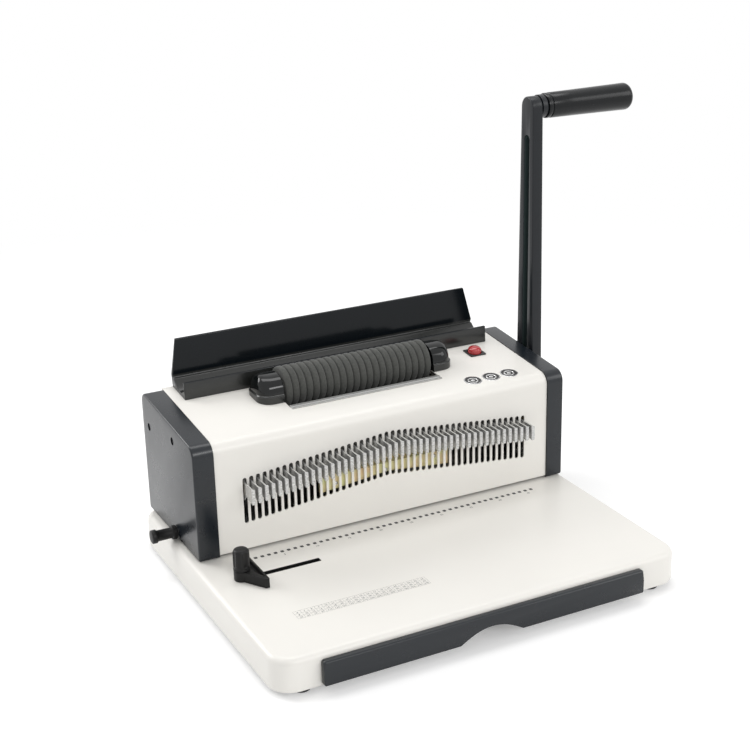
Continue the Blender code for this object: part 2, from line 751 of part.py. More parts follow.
def arch_curve(bottom):
    """Finger arch as a smooth rise, a flat and a smooth fall, right to left."""
    run = (ARCH_WIDTH - ARCH_FLAT) / 2
    left = []
    for step in range(ARCH_STEPS + 1):
        share = step / ARCH_STEPS
        rise = ARCH_HEIGHT * share * share * (3 - 2 * share)
        left.append((DRAWER_CENTRE_X - ARCH_WIDTH / 2 + run * share, bottom + rise))
    right = [(2 * DRAWER_CENTRE_X - x, z) for x, z in left]
    return left + right[::-1]


def build_drawer(looks):
    """Front panel with its finger arch, and the tray behind it."""
    corners = [(DRAWER_RIGHT_X, DRAWER_BOTTOM_Z), (DRAWER_RIGHT_X, DRAWER_TOP_Z),
               (DRAWER_LEFT_X, DRAWER_TOP_Z), (DRAWER_LEFT_X, DRAWER_BOTTOM_Z)]
    outline = rounded(corners, [DRAWER_FACE_CORNER] * 4, 2)
    outline += arch_curve(DRAWER_BOTTOM_Z)
    pivot = (DRAWER_CENTRE_X, BASE_FRONT_Y, DRAWER_BOTTOM_Z)
    face = prism("drawer_front", outline, "Y", DRAWER_FACE_FRONT_Y, DRAWER_FACE_REAR_Y, looks["slate"], pivot)
    round_edges(face, EDGE_ROUND, 1, math.radians(80))

    half = ARCH_WIDTH / 2
    front, back = TRAY_FRONT_Y, BASE_FRONT_Y + FINGER_DEPTH
    plan = [(TRAY_LEFT_X, front), (DRAWER_CENTRE_X - half, front), (DRAWER_CENTRE_X - half, back),
            (DRAWER_CENTRE_X + half, back), (DRAWER_CENTRE_X + half, front), (TRAY_RIGHT_X, front),
            (TRAY_RIGHT_X, TRAY_REAR_Y), (TRAY_LEFT_X, TRAY_REAR_Y)]
    tray = prism("drawer_tray", plan, "Z", TRAY_BOTTOM_Z, TRAY_TOP_Z, looks["black"], pivot)
    wall = TRAY_WALL
    pocket = [(TRAY_LEFT_X + wall, front + wall), (DRAWER_CENTRE_X - half - wall, front + wall),
              (DRAWER_CENTRE_X - half - wall, back + wall), (DRAWER_CENTRE_X + half + wall, back + wall),
              (DRAWER_CENTRE_X + half + wall, front + wall), (TRAY_RIGHT_X - wall, front + wall),
              (TRAY_RIGHT_X - wall, TRAY_REAR_Y - wall), (TRAY_LEFT_X + wall, TRAY_REAR_Y - wall)]
    cut_prism(tray, "tray_hollow", pocket, "Z", TRAY_BOTTOM_Z + wall, TRAY_TOP_Z + OVERRUN)


# Head

def cover_outline(inset=0.0):
    """Side view of the head's ends, as (Y, Z)."""
    front = HEAD_FRONT_HEIGHT - inset
    rear = HEAD_REAR_HEIGHT - inset
    corners = [(inset, SEAT_GAP + inset), (HEAD_DEPTH - inset, SEAT_GAP + inset),
               (HEAD_DEPTH - inset, rear), (inset, front)]
    radii = [COVER_FOOT_ROUND, COVER_FOOT_ROUND, COVER_REAR_ROUND - inset, COVER_FRONT_ROUND - inset]
    return rounded(corners, radii, 5)


def build_cover(name, outer, inner, looks):
    """A hollow end cover, open towards the head."""
    side = 1 if inner > outer else -1
    cover = prism(name, cover_outline(), "X", min(outer, inner), max(outer, inner), looks["slate"])
    round_edges(cover, EDGE_ROUND, 1, math.radians(60))
    ends = (outer + side * COVER_WALL, inner + side * OVERRUN)
    cut_prism(cover, f"{name}_hollow", cover_outline(COVER_WALL), "X", min(ends), max(ends))
    return cover


def build_ends(looks):
    """End covers with their side frames, bushes and screws."""
    left = build_cover("left_cover", 0.0, LEFT_COVER_THICKNESS, looks)
    right = build_cover("right_cover", HEAD_WIDTH, RIGHT_COVER_X, looks)
    inset = COVER_WALL + SEAT_GAP
    left_frame = prism("left_side_frame", cover_outline(inset), "X", LEFT_FRAME_OUT_X, LEFT_FRAME_IN_X,
                       looks["steel"])
    right_frame = prism("right_side_frame", cover_outline(inset), "X", RIGHT_FRAME_IN_X, RIGHT_FRAME_OUT_X,
                        looks["steel"])
    pivot = (PIVOT_Y, PIVOT_Z)
    for piece, low, high in ((left_frame, LEFT_FRAME_OUT_X, LEFT_FRAME_IN_X),
                             (right_frame, RIGHT_FRAME_IN_X, RIGHT_FRAME_OUT_X)):
        hole = circle(pivot, BUSH_RADIUS + SEAT_GAP, 14)
        cut_prism(piece, f"{piece.name}_bush_hole", hole, "X", low - OVERRUN, high + OVERRUN)
    hole = circle(pivot, SHAFT_RADIUS + SEAT_GAP, 16)
    cut_prism(right, "right_cover_shaft_hole", hole, "X",
              HEAD_WIDTH - COVER_WALL - OVERRUN, HEAD_WIDTH + OVERRUN)
    depth_hole = circle((DEPTH_Y, DEPTH_Z), DEPTH_SHAFT_RADIUS + SEAT_GAP, 12)
    cut_prism(left, "left_cover_shaft_hole", depth_hole, "X", -OVERRUN, COVER_WALL + OVERRUN)
    cut_prism(left_frame, "left_frame_shaft_hole", depth_hole, "X",
              LEFT_FRAME_OUT_X - OVERRUN, LEFT_FRAME_IN_X + OVERRUN)

    ring = BUSH_FLANGE_RADIUS
    bore = SHAFT_RADIUS + SEAT_GAP
    for name, out_x, in_x, side in (("shaft_bush_left", LEFT_FRAME_OUT_X, LEFT_FRAME_IN_X, 1),
                                    ("shaft_bush_right", RIGHT_FRAME_OUT_X, RIGHT_FRAME_IN_X, -1)):
        flange = in_x + side * SEAT_GAP
        profile = [(out_x, bore), (out_x, BUSH_RADIUS), (flange, BUSH_RADIUS), (flange, ring),
                   (flange + side * BUSH_FLANGE, ring), (flange + side * BUSH_FLANGE, bore)]
        turned(name, profile, "X", pivot, 14, looks["brass"], hollow=True)

    number = 0
    for cover, outer, frame, side in ((left, 0.0, LEFT_FRAME_OUT_X, 1),
                                      (right, HEAD_WIDTH, RIGHT_FRAME_OUT_X, -1)):
        for place in ((SCREW_REAR_Y, SCREW_REAR_Z), (SCREW_FRONT_Y, SCREW_FRONT_Z)):
            number += 1
            ends = (outer - side * OVERRUN, outer + side * (COVER_WALL + OVERRUN))
            hole = circle(place, SCREW_HEAD_RADIUS + SEAT_GAP, 10)
            cut_prism(cover, f"screw_hole_{number}", hole, "X", min(ends), max(ends))
            head = outer + side * SCREW_RECESS
            neck = head + side * SCREW_HEAD
            profile = [(head, SCREW_HEAD_RADIUS - EDGE_ROUND), (head + side * EDGE_ROUND, SCREW_HEAD_RADIUS),
                       (neck, SCREW_HEAD_RADIUS), (neck, SCREW_SHANK_RADIUS),
                       (frame - side * SEAT_GAP, SCREW_SHANK_RADIUS)]
            turned(f"cover_screw_{number}", profile, "X", place, 10, looks["bolt"])


def slot_outline(index):
    """A round-ended slot in the front sheet, as (X, Z)."""
    x = pin_x(index)
    rise = pin_rise(index)
    half = SLOT_WIDTH / 2
    top = arc((x, SLOT_TOP + rise - half), half, 0.0, math.pi, 2)
    bottom = arc((x, SLOT_BOTTOM + rise + half), half, math.pi, math.tau, 2)
    return top + bottom


def build_head_sheet(looks):
    """Folded front and top sheet with the slotted front and the roller opening."""
    bend = SHEET_BEND
    front, rear = SHEET_FRONT_Y, SHEET_REAR_Y
    thick = SHEET_THICKNESS
    outer = rounded([(front, THROAT_HEIGHT), (front, sheet_top(front)), (rear, sheet_top(rear))],
                    [0.0, bend, 0.0], 5)
    inner = rounded([(front + thick, THROAT_HEIGHT), (front + thick, sheet_top(front) - thick),
                     (rear, sheet_top(rear) - thick)], [0.0, bend - thick, 0.0], 5)
    sheet = prism("head_cover", outer + inner[::-1], "X", SHEET_LEFT_X, SHEET_RIGHT_X, looks["housing"])
    bm = bmesh.new()
    for index in range(PIN_COUNT):
        add_prism(bm, slot_outline(index), "Y", front - OVERRUN, front + thick + OVERRUN)
    combine(sheet, helper("tab_slots", bm), "DIFFERENCE")
    opening = rectangle(OPENING_LEFT_X, OPENING_FRONT_Y, OPENING_RIGHT_X, OPENING_REAR_Y)
    low = sheet_top(OPENING_FRONT_Y) - thick - OVERRUN
    cut_prism(sheet, "roller_opening", opening, "Z", low, sheet_top(rear))
    room = SWITCH_BODY_HALF + SEAT_GAP
    window = rectangle(SWITCH_X - room, SWITCH_Y - room, SWITCH_X + room, SWITCH_Y + room)
    cut_prism(sheet, "switch_window", window, "Z", low, sheet_top(rear))
    cut_prism(sheet, "belt_window", belt_room(), "X", PULLEY_X - OVERRUN, PULLEY_X + PULLEY_WIDTH + OVERRUN)

    panel_top = sheet_top(PANEL_FRONT_Y)
    panel = prism("rear_panel", rectangle(SHEET_LEFT_X, SEAT_GAP, SHEET_RIGHT_X, panel_top), "Y",
                  PANEL_FRONT_Y, PANEL_REAR_Y, looks["housing"])
    bm = bmesh.new()
    for index in range(VENT_COUNT):
        x = INSIDE_RIGHT_X - VENT_RIGHT_INSET + VENT_PITCH * index
        half = VENT_WIDTH / 2
        vent = arc((x, VENT_BOTTOM + VENT_LENGTH - half), half, 0.0, math.pi, 2)
        vent += arc((x, VENT_BOTTOM + half), half, math.pi, math.tau, 2)
        add_prism(bm, vent, "Y", PANEL_FRONT_Y - OVERRUN, PANEL_REAR_Y + OVERRUN)
    combine(panel, helper("vent_slots", bm), "DIFFERENCE")
    hole = rectangle(INLET_X - INLET_HALF_WIDTH - SEAT_GAP, INLET_Z - INLET_HALF_HEIGHT - SEAT_GAP,
                     INLET_X + INLET_HALF_WIDTH + SEAT_GAP, INLET_Z + INLET_HALF_HEIGHT + SEAT_GAP)
    cut_prism(panel, "inlet_window", hole, "Y", PANEL_FRONT_Y - OVERRUN, PANEL_REAR_Y + OVERRUN)


def build_inlet(looks):
    """Mains inlet: flange, body and socket."""
    width, height, border = INLET_HALF_WIDTH, INLET_HALF_HEIGHT, INLET_FLANGE_BORDER
    bm = bmesh.new()
    flange = rectangle(INLET_X - width - border, INLET_Z - height - border,
                       INLET_X + width + border, INLET_Z + height + border)
    add_prism(bm, flange, "Y", PANEL_REAR_Y + SEAT_GAP, INLET_REAR_Y)
    inlet = make("power_inlet", bm, looks["black"])
    bm = bmesh.new()
    body = rectangle(INLET_X - width, INLET_Z - height, INLET_X + width, INLET_Z + height)
    add_prism(bm, body, "Y", INLET_REAR_Y - INLET_BODY, INLET_REAR_Y - INLET_FLANGE / 2)
    combine(inlet, helper("inlet_body", bm), "UNION")
    wall = INLET_WALL
    socket = rounded(rectangle(INLET_X - width + wall, INLET_Z - height + wall,
                               INLET_X + width - wall, INLET_Z + height - wall),
                     [EDGE_ROUND, EDGE_ROUND, wall, wall], 2)
    cut_prism(inlet, "inlet_socket", socket, "Y", INLET_REAR_Y - INLET_DEPTH, INLET_REAR_Y + OVERRUN)


# Punch

def die_left():
    """Left end of the lower die."""
    return INSIDE_LEFT_X + DIE_END_INSET


def die_right():
    """Right end of the lower die."""
    return INSIDE_RIGHT_X - DIE_END_INSET


def pin_holes(low, high):
    """Cutter with one hole for each pin."""
    bm = bmesh.new()
    grow = SEAT_GAP / math.cos(math.pi / PIN_SIDES)
    for index in range(PIN_COUNT):
        add_prism(bm, circle((pin_x(index), PIN_ROW_Y), PIN_RADIUS + grow, PIN_SIDES), "Z", low, high)
    return bm


def build_die_set(looks):
    """Lower die in the base, pin guide over the throat and the two pillars."""
    rear = DIE_FRONT_Y + DIE_DEPTH
    die = prism("lower_die", rectangle(die_left(), DIE_FRONT_Y, die_right(), rear), "Z",
                -DIE_THICKNESS, 0.0, looks["steel"])
    combine(die, helper("die_holes", pin_holes(-DIE_THICKNESS - OVERRUN, OVERRUN)), "DIFFERENCE")
    guide = prism("pin_guide", rectangle(INSIDE_LEFT_X, DIE_FRONT_Y, INSIDE_RIGHT_X, rear), "Z",
                  THROAT_HEIGHT, GUIDE_TOP, looks["steel"])
    holes = pin_holes(THROAT_HEIGHT - OVERRUN, GUIDE_TOP + OVERRUN)
    combine(guide, helper("guide_holes", holes), "DIFFERENCE")
    for name, x in zip(("guide_pillar_left", "guide_pillar_right"), PILLAR_XS):
        foot = SEAT_GAP + PILLAR_FOOT_HEIGHT
        profile = [(SEAT_GAP, PILLAR_FOOT_RADIUS), (foot, PILLAR_FOOT_RADIUS), (foot, PILLAR_RADIUS),
                   (PILLAR_TOP - EDGE_ROUND, PILLAR_RADIUS), (PILLAR_TOP, PILLAR_RADIUS - EDGE_ROUND)]
        turned(name, profile, "Z", (x, PILLAR_Y), 12, looks["steel"])


def tab_outline(rise):
    """Side view of a pull tab, as (Y, Z)."""
    top = SLOT_TOP - TAB_TOP_GAP + rise
    tip = SHEET_FRONT_Y - TAB_REACH
    back = TAB_RAIL_FRONT_Y + TAB_RAIL_THICKNESS / 2
    corners = [(tip, top), (tip, top - TAB_TIP_HEIGHT), (SHEET_FRONT_Y, top - TAB_BACK_HEIGHT),
               (back, top - TAB_BACK_HEIGHT), (back, top)]
    return rounded(corners, [TAB_CORNER, TAB_CORNER, 0.0, 0.0, 0.0], 1)


def build_tabs(name, first, end, looks, pivot):
    """Half of the row of pull tabs, on the slanting rail that holds them to the bar."""
    start, stop = pin_x(first), pin_x(end - 1)
    top = SLOT_TOP - TAB_TOP_GAP
    low = top - TAB_BACK_HEIGHT
    slant = (pin_rise(end - 1) - pin_rise(first)) / (stop - start)
    left, right = start - TAB_RAIL_MARGIN / 2, stop + TAB_RAIL_MARGIN / 2
    drop = slant * TAB_RAIL_MARGIN / 2
    left_rise, right_rise = pin_rise(first) - drop, pin_rise(end - 1) + drop
    corners = [(left, low + left_rise), (right, low + right_rise), (right, top + right_rise), (left, top + left_rise)]
    rail = prism(name, corners, "Y", TAB_RAIL_FRONT_Y, TAB_RAIL_REAR_Y, looks["steel"], pivot)
    bm = bmesh.new()
    half = TAB_THICKNESS / 2
    for index in range(first, end):
        add_prism(bm, tab_outline(pin_rise(index)), "X", pin_x(index) - half, pin_x(index) + half)
    combine(rail, helper(f"{name}_row", bm), "UNION")


def build_punch(looks):
    """Bar with its pins, the rails of pull tabs, and the two carriages with their racks."""
    pivot = ((INSIDE_LEFT_X + INSIDE_RIGHT_X) / 2, PIN_ROW_Y, BAR_BOTTOM)
    bm = bmesh.new()
    left, right = INSIDE_LEFT_X + BAR_END_INSET, INSIDE_RIGHT_X - BAR_END_INSET
    add_box(bm, (left, BAR_FRONT_Y, BAR_BOTTOM), (right, BAR_REAR_Y, BAR_TOP))
    bar = make("punch_beam", bm, looks["zinc"], pivot)
    bm = bmesh.new()
    for index in range(PIN_COUNT):
        tip = THROAT_HEIGHT + PIN_TIP_LIFT + pin_rise(index)
        pin = circle((pin_x(index), PIN_ROW_Y), PIN_RADIUS, PIN_SIDES)
        add_prism(bm, pin, "Z", tip, BAR_BOTTOM + BAR_HEIGHT / 2)
    combine(bar, helper("pins", bm), "UNION")
    middle = PIN_COUNT // 2
    build_tabs("pull_tabs_left", 0, middle, looks, pivot)
    build_tabs("pull_tabs_right", middle, PIN_COUNT, looks, pivot)

    for name, x in zip(("carriage_left", "carriage_right"), PILLAR_XS):
        addendum = GEAR_MODULE
        dedendum = GEAR_MODULE * (1 + TOOTH_TIP_GAP_SHARE)
        low, high = PIVOT_Z - RACK_BELOW, PIVOT_Z + RACK_ABOVE
        teeth = rack_teeth(GEAR_MODULE, PRESSURE_ANGLE, addendum, dedendum, low, high, PIVOT_Z)
        rack = [(RACK_PITCH_Y + height, along) for along, height in teeth]
        start = BAR_REAR_Y + SEAT_GAP
        back = RACK_PITCH_Y - RACK_BACK
        outline = [(start, BAR_BOTTOM), (back, BAR_BOTTOM), (back, low)] + rack
        outline += [(back, high), (back, BAR_TOP), (start, BAR_TOP)]
        carriage = prism(name, outline, "X", x - GEAR_WIDTH / 2, x + GEAR_WIDTH / 2, looks["steel"], pivot)
        bm = bmesh.new()
        add_turned(bm, [(BAR_BOTTOM, BOSS_RADIUS), (BAR_TOP, BOSS_RADIUS)], "Z", (x, PILLAR_Y), 12)
        combine(carriage, helper(f"{name}_boss", bm), "UNION")
        bore = circle((x, PILLAR_Y), PILLAR_RADIUS + SEAT_GAP, 12)
        cut_prism(carriage, f"{name}_bore", bore, "Z", BAR_BOTTOM - OVERRUN, BAR_TOP + OVERRUN)


def build_springs(looks):
    """Return springs on the pillars: each is one unbroken helix of wire."""
    low = SEAT_GAP + PILLAR_FOOT_HEIGHT + SEAT_GAP + SPRING_WIRE / 2
    high = BAR_BOTTOM - SEAT_GAP - SPRING_WIRE / 2
    pitch = (high - low) / SPRING_TURNS
    print(f"return spring: least gap between turns {(pitch - SPRING_WIRE) * 1000:.2f} mm")
    for name, x in zip(("return_spring_left", "return_spring_right"), PILLAR_XS):
        curve = bpy.data.curves.new(name, "CURVE")
        curve.dimensions = "3D"
        curve.bevel_depth = SPRING_WIRE / 2
        curve.bevel_resolution = 1
        curve.use_fill_caps = True
        spline = curve.splines.new("POLY")
        count = SPRING_TURNS * SPRING_STEPS
        spline.points.add(count)
        for index in range(count + 1):
            angle = math.tau * index / SPRING_STEPS
            point = (SPRING_RADIUS * math.cos(angle), SPRING_RADIUS * math.sin(angle),
                     low + (high - low) * index / count, 1.0)
            spline.points[index].co = point
        curve.materials.append(looks["steel"])
        spring = bpy.data.objects.new(name, curve)
        spring.location = (x, PILLAR_Y, 0.0)
        bpy.context.collection.objects.link(spring)


# Lever

def build_lever(looks):
    """Shaft, pinions, channel-section arm, hub bolt, spindle and grip."""
    centre = (PIVOT_Y, PIVOT_Z)
    pivot = (HEAD_WIDTH, PIVOT_Y, PIVOT_Z)
    bore = SHAFT_RADIUS + SEAT_GAP
    left = LEFT_FRAME_OUT_X - SHAFT_LEFT_PROUD
    profile = [(left, SHAFT_RADIUS - EDGE_ROUND), (left + EDGE_ROUND, SHAFT_RADIUS),
               (ARM_OUT_X - SEAT_GAP, SHAFT_RADIUS)]
    turned("main_shaft", profile, "X", centre, 16, looks["steel"], pivot)
    dedendum = GEAR_MODULE * (1 + TOOTH_TIP_GAP_SHARE)
    teeth = gear_outline(GEAR_MODULE, GEAR_TEETH, PRESSURE_ANGLE, GEAR_MODULE, dedendum, math.pi, centre)
    for name, x in zip(("pinion_left", "pinion_right"), PILLAR_XS):
        low, high = x - GEAR_WIDTH / 2, x + GEAR_WIDTH / 2
        gear = prism(name, teeth, "X", low, high, looks["steel"], pivot)
        cut_prism(gear, f"{name}_bore", circle(centre, bore, 16), "X", low - OVERRUN, high + OVERRUN)

    top = (PIVOT_Y, ARM_TOP_Z)
    outline = strap(centre, ARM_FOOT_RADIUS, top, ARM_TOP_RADIUS, 8)
    arm = prism("handle_arm", outline, "X", ARM_IN_X, ARM_OUT_X, looks["slate"], pivot)
    round_edges(arm, ARM_EDGE, 1, math.radians(60))
    length = ARM_TOP_Z - PIVOT_Z
    taper = (ARM_FOOT_RADIUS - ARM_TOP_RADIUS) / length
    low_half = ARM_FOOT_RADIUS - taper * (ARM_GROOVE_FOOT_Z - PIVOT_Z) - ARM_WALL
    high_half = ARM_FOOT_RADIUS - taper * (ARM_GROOVE_TOP_Z - PIVOT_Z) - ARM_WALL
    groove = strap((PIVOT_Y, ARM_GROOVE_FOOT_Z), low_half, (PIVOT_Y, ARM_GROOVE_TOP_Z), high_half, 6)
    cut_prism(arm, "arm_groove", groove, "X", ARM_IN_X - OVERRUN, ARM_IN_X + ARM_GROOVE_DEPTH)
    cut_prism(arm, "arm_bore", circle(centre, bore, 16), "X", ARM_IN_X - OVERRUN, ARM_OUT_X + OVERRUN)
    face = ARM_OUT_X + SEAT_GAP
    profile = [(face, HUB_BOLT_RADIUS), (face + HUB_BOLT_HEAD - EDGE_ROUND, HUB_BOLT_RADIUS),
               (face + HUB_BOLT_HEAD, HUB_BOLT_RADIUS - EDGE_ROUND)]
    turned("hub_bolt", profile, "X", centre, 16, looks["bolt"], pivot)

    tail = GRIP_END_X - GRIP_END_WALL - SEAT_GAP
    profile = [(face, SPINDLE_COLLAR_RADIUS), (COLLAR_OUT_X - EDGE_ROUND, SPINDLE_COLLAR_RADIUS),
               (COLLAR_OUT_X, SPINDLE_COLLAR_RADIUS - EDGE_ROUND), (COLLAR_OUT_X, SPINDLE_RADIUS),
               (tail, SPINDLE_RADIUS)]
    turned("grip_spindle", profile, "X", top, 16, looks["slate"], pivot)

    rings = [(GRIP_ROOT_X, SPINDLE_RADIUS + SEAT_GAP), (GRIP_ROOT_X, GRIP_ROOT_RADIUS - EDGE_ROUND),
             (GRIP_ROOT_X + EDGE_ROUND, GRIP_ROOT_RADIUS), (GRIP_ROOT_X + GRIP_RING_WIDTH, GRIP_ROOT_RADIUS)]
    rings.append((GRIP_ROOT_X + 1.5 * GRIP_RING_WIDTH, GRIP_ROOT_RADIUS - GRIP_RING_DEPTH))
    rings.append((GRIP_ROOT_X + 2 * GRIP_RING_WIDTH, GRIP_ROOT_RADIUS))
    centre_x = GRIP_END_X - GRIP_END_ROUND
    rounding = arc((centre_x, GRIP_END_RADIUS - GRIP_END_ROUND), GRIP_END_ROUND, math.pi / 2, 0.0, 4)
    rings += rounding
    rings.append((GRIP_END_X, GRIP_VENT_RADIUS))
    rings.append((tail + SEAT_GAP, GRIP_VENT_RADIUS))
    rings.append((tail + SEAT_GAP, SPINDLE_RADIUS + SEAT_GAP))
    turned("handle_grip", rings, "X", top, 18, looks["grip"], (GRIP_ROOT_X, PIVOT_Y, ARM_TOP_Z), hollow=True)


# Coil roller and its drive

def belt_room():
    """Outline of the room round the belt, as (Y, Z)."""
    reach = PULLEY_RADIUS + SEAT_GAP + BELT_THICKNESS + BELT_ROOM
    return strap((ROLLER_Y, ROLLER_Z), reach, (MOTOR_Y, MOTOR_Z), reach, 8)


def cap_ring(inner, outer, half, corner, lifted, height):
    """One D-shaped ring of an end cap; inner is the side that faces the roller."""
    side = 1 if outer > inner else -1
    corner = min(corner, half * CAP_CORNER_SHARE, abs(outer - inner) * CAP_CORNER_SHARE)
    centre_x = outer - side * corner
    ring = [(inner, -half)]
    for angle in (0.0, 0.5, 1.0):
        turn = angle * math.pi / 2
        ring.append((centre_x + side * corner * math.sin(turn), -half + corner * (1 - math.cos(turn))))
    for angle in (1.0, 0.5, 0.0):
        turn = angle * math.pi / 2
        ring.append((centre_x + side * corner * math.sin(turn), half - corner * (1 - math.cos(turn))))
    ring.append((inner, half))
    placed = []
    for x, y in ring:
        depth = ROLLER_Y + y
        floor = sheet_top(depth) + SEAT_GAP if lifted else 0.0
        placed.append((x, depth, floor + height))
    return placed


def build_cap(name, inner, outer, looks):
    """Domed end cap with a skirt that follows the sloping top."""
    side = 1 if outer > inner else -1
    step = CAP_SKIRT_HALF - CAP_RADIUS
    ledge = step * CAP_LEDGE_SHARE
    rings = [cap_ring(inner, outer, CAP_SKIRT_HALF, CAP_END_ROUND, True, 0.0),
             cap_ring(inner, outer, CAP_SKIRT_HALF, CAP_END_ROUND, True, CAP_SKIRT_HEIGHT),
             cap_ring(inner, outer - side * ledge, CAP_SKIRT_HALF - ledge, CAP_END_ROUND, True, CAP_SKIRT_STEP),
             cap_ring(inner, outer - side * step, CAP_RADIUS, CAP_END_ROUND, False, ROLLER_Z)]
    for share in CAP_DOME_SHARES:
        angle = share * math.pi / 2
        inset = step + CAP_END_ROUND * (1 - math.cos(angle))
        rings.append(cap_ring(inner, outer - side * inset, CAP_RADIUS * math.cos(angle), CAP_END_ROUND, False,
                              ROLLER_Z + CAP_RADIUS * math.sin(angle)))
    bm = bmesh.new()
    add_loft(bm, rings)
    cap = make(name, bm, looks["gloss"])
    hole = circle((ROLLER_Y, ROLLER_Z), AXLE_RADIUS + SEAT_GAP, 16)
    reach = inner + side * (PULLEY_INSET - SEAT_GAP)
    ends = (inner - side * OVERRUN, reach + side * OVERRUN)
    cut_prism(cap, f"{name}_axle_hole", hole, "X", min(ends), max(ends))
    return cap


def build_roller(looks):
    """Ridged foam sleeve on its core, end caps, cradle, strip, belt, pulleys and motor."""
    centre = (ROLLER_Y, ROLLER_Z)
    pivot = (ROLLER_LEFT_X, ROLLER_Y, ROLLER_Z)
    pitch = ROLLER_LENGTH / ROLLER_RIDGES
    slope = pitch * RIDGE_SLOPE_SHARE
    outer = []
    for index in range(ROLLER_RIDGES):
        start = ROLLER_LEFT_X + pitch * index
        outer.append((start, ROLLER_RADIUS - RIDGE_GROOVE))
        outer.append((start + slope, ROLLER_RADIUS))
        outer.append((start + pitch - slope, ROLLER_RADIUS))
    outer.append((ROLLER_RIGHT_X, ROLLER_RADIUS - RIDGE_GROOVE))
    bore = CORE_RADIUS + SEAT_GAP
    profile = [(ROLLER_LEFT_X, bore)] + outer + [(ROLLER_RIGHT_X, bore)]
    turned("roller_foam", profile, "X", centre, 14, looks["foam"], pivot, hollow=True)
    tail_left = PULLEY_X - SEAT_GAP
    tail_right = OPENING_RIGHT_X + PULLEY_INSET - SEAT_GAP
    profile = [(tail_left, AXLE_RADIUS), (ROLLER_LEFT_X, AXLE_RADIUS), (ROLLER_LEFT_X, CORE_RADIUS),
               (ROLLER_RIGHT_X, CORE_RADIUS), (ROLLER_RIGHT_X, AXLE_RADIUS), (tail_right, AXLE_RADIUS)]
    turned("roller_core", profile, "X", centre, 14, looks["black"], pivot)

    left = build_cap("roller_cap_left", OPENING_LEFT_X, OPENING_LEFT_X - CAP_LENGTH, looks)
    build_cap("roller_cap_right", OPENING_RIGHT_X, OPENING_RIGHT_X + CAP_LENGTH, looks)
    room = belt_room()
    cut_prism(left, "cap_belt_room", room, "X", PULLEY_X - CAP_WALL / 2, OPENING_LEFT_X - CAP_WALL)

    rim = PULLEY_RADIUS + PULLEY_RIM
    low, high = PULLEY_X, PULLEY_X + PULLEY_WIDTH
    edge = (PULLEY_WIDTH - BELT_WIDTH) / 2 - SEAT_GAP / 2
    for name, place, axle, origin in (("roller_pulley", centre, AXLE_RADIUS, pivot),
                                      ("motor_pulley", (MOTOR_Y, MOTOR_Z), MOTOR_AXLE_RADIUS,
                                       (PULLEY_X, MOTOR_Y, MOTOR_Z))):
        flanges = [(low, axle + SEAT_GAP), (low, rim), (low + edge, rim), (low + edge, PULLEY_RADIUS),
                   (high - edge, PULLEY_RADIUS), (high - edge, rim), (high, rim), (high, axle + SEAT_GAP)]
        turned(name, flanges, "X", place, 12, looks["black"], origin, hollow=True)

    middle = PULLEY_X + PULLEY_WIDTH / 2
    inner = PULLEY_RADIUS + SEAT_GAP
    bm = bmesh.new()
    loops = []
    for reach in (inner, inner + BELT_THICKNESS):
        for x in (middle - BELT_WIDTH / 2, middle + BELT_WIDTH / 2):
            points = strap(centre, reach, (MOTOR_Y, MOTOR_Z), reach, 8)
            loops.append([bm.verts.new((x, y, z)) for y, z in points])
    bridge(bm, loops[0], loops[1])
    bridge(bm, loops[1], loops[3])
    bridge(bm, loops[3], loops[2])
    bridge(bm, loops[2], loops[0])
    make("drive_belt", bm, looks["rubber"])
    build_motor(looks)
    build_cradle(looks)


def build_motor(looks):
    """Gear motor on its bracket behind the shaft."""
    plate_x = PULLEY_X + PULLEY_WIDTH + SEAT_GAP + BRACKET_THICKNESS
    body = plate_x + BRACKET_THICKNESS + SEAT_GAP
    end = body + MOTOR_LENGTH
    box_end = body + MOTOR_GEARBOX
    profile = [(PULLEY_X - SEAT_GAP, MOTOR_AXLE_RADIUS), (body, MOTOR_AXLE_RADIUS),
               (body, MOTOR_GEARBOX_RADIUS), (box_end, MOTOR_GEARBOX_RADIUS), (box_end, MOTOR_RADIUS), (end, MOTOR_RADIUS),
               (end, MOTOR_TAIL_RADIUS), (end + MOTOR_TAIL, MOTOR_TAIL_RADIUS)]
    turned("insert_motor", profile, "X", (MOTOR_Y, MOTOR_Z), 16, looks["steel"])
    outline = rectangle(MOTOR_Y - BRACKET_REACH, MOTOR_Z - BRACKET_HALF_HEIGHT,
                        PANEL_FRONT_Y - SEAT_GAP, MOTOR_Z + BRACKET_HALF_HEIGHT)
    bracket = prism("motor_bracket", outline, "X", plate_x, plate_x + BRACKET_THICKNESS, looks["zinc"])
    hole = circle((MOTOR_Y, MOTOR_Z), MOTOR_AXLE_RADIUS + SEAT_GAP, 12)
    cut_prism(bracket, "bracket_hole", hole, "X", plate_x - OVERRUN, plate_x + BRACKET_THICKNESS + OVERRUN)


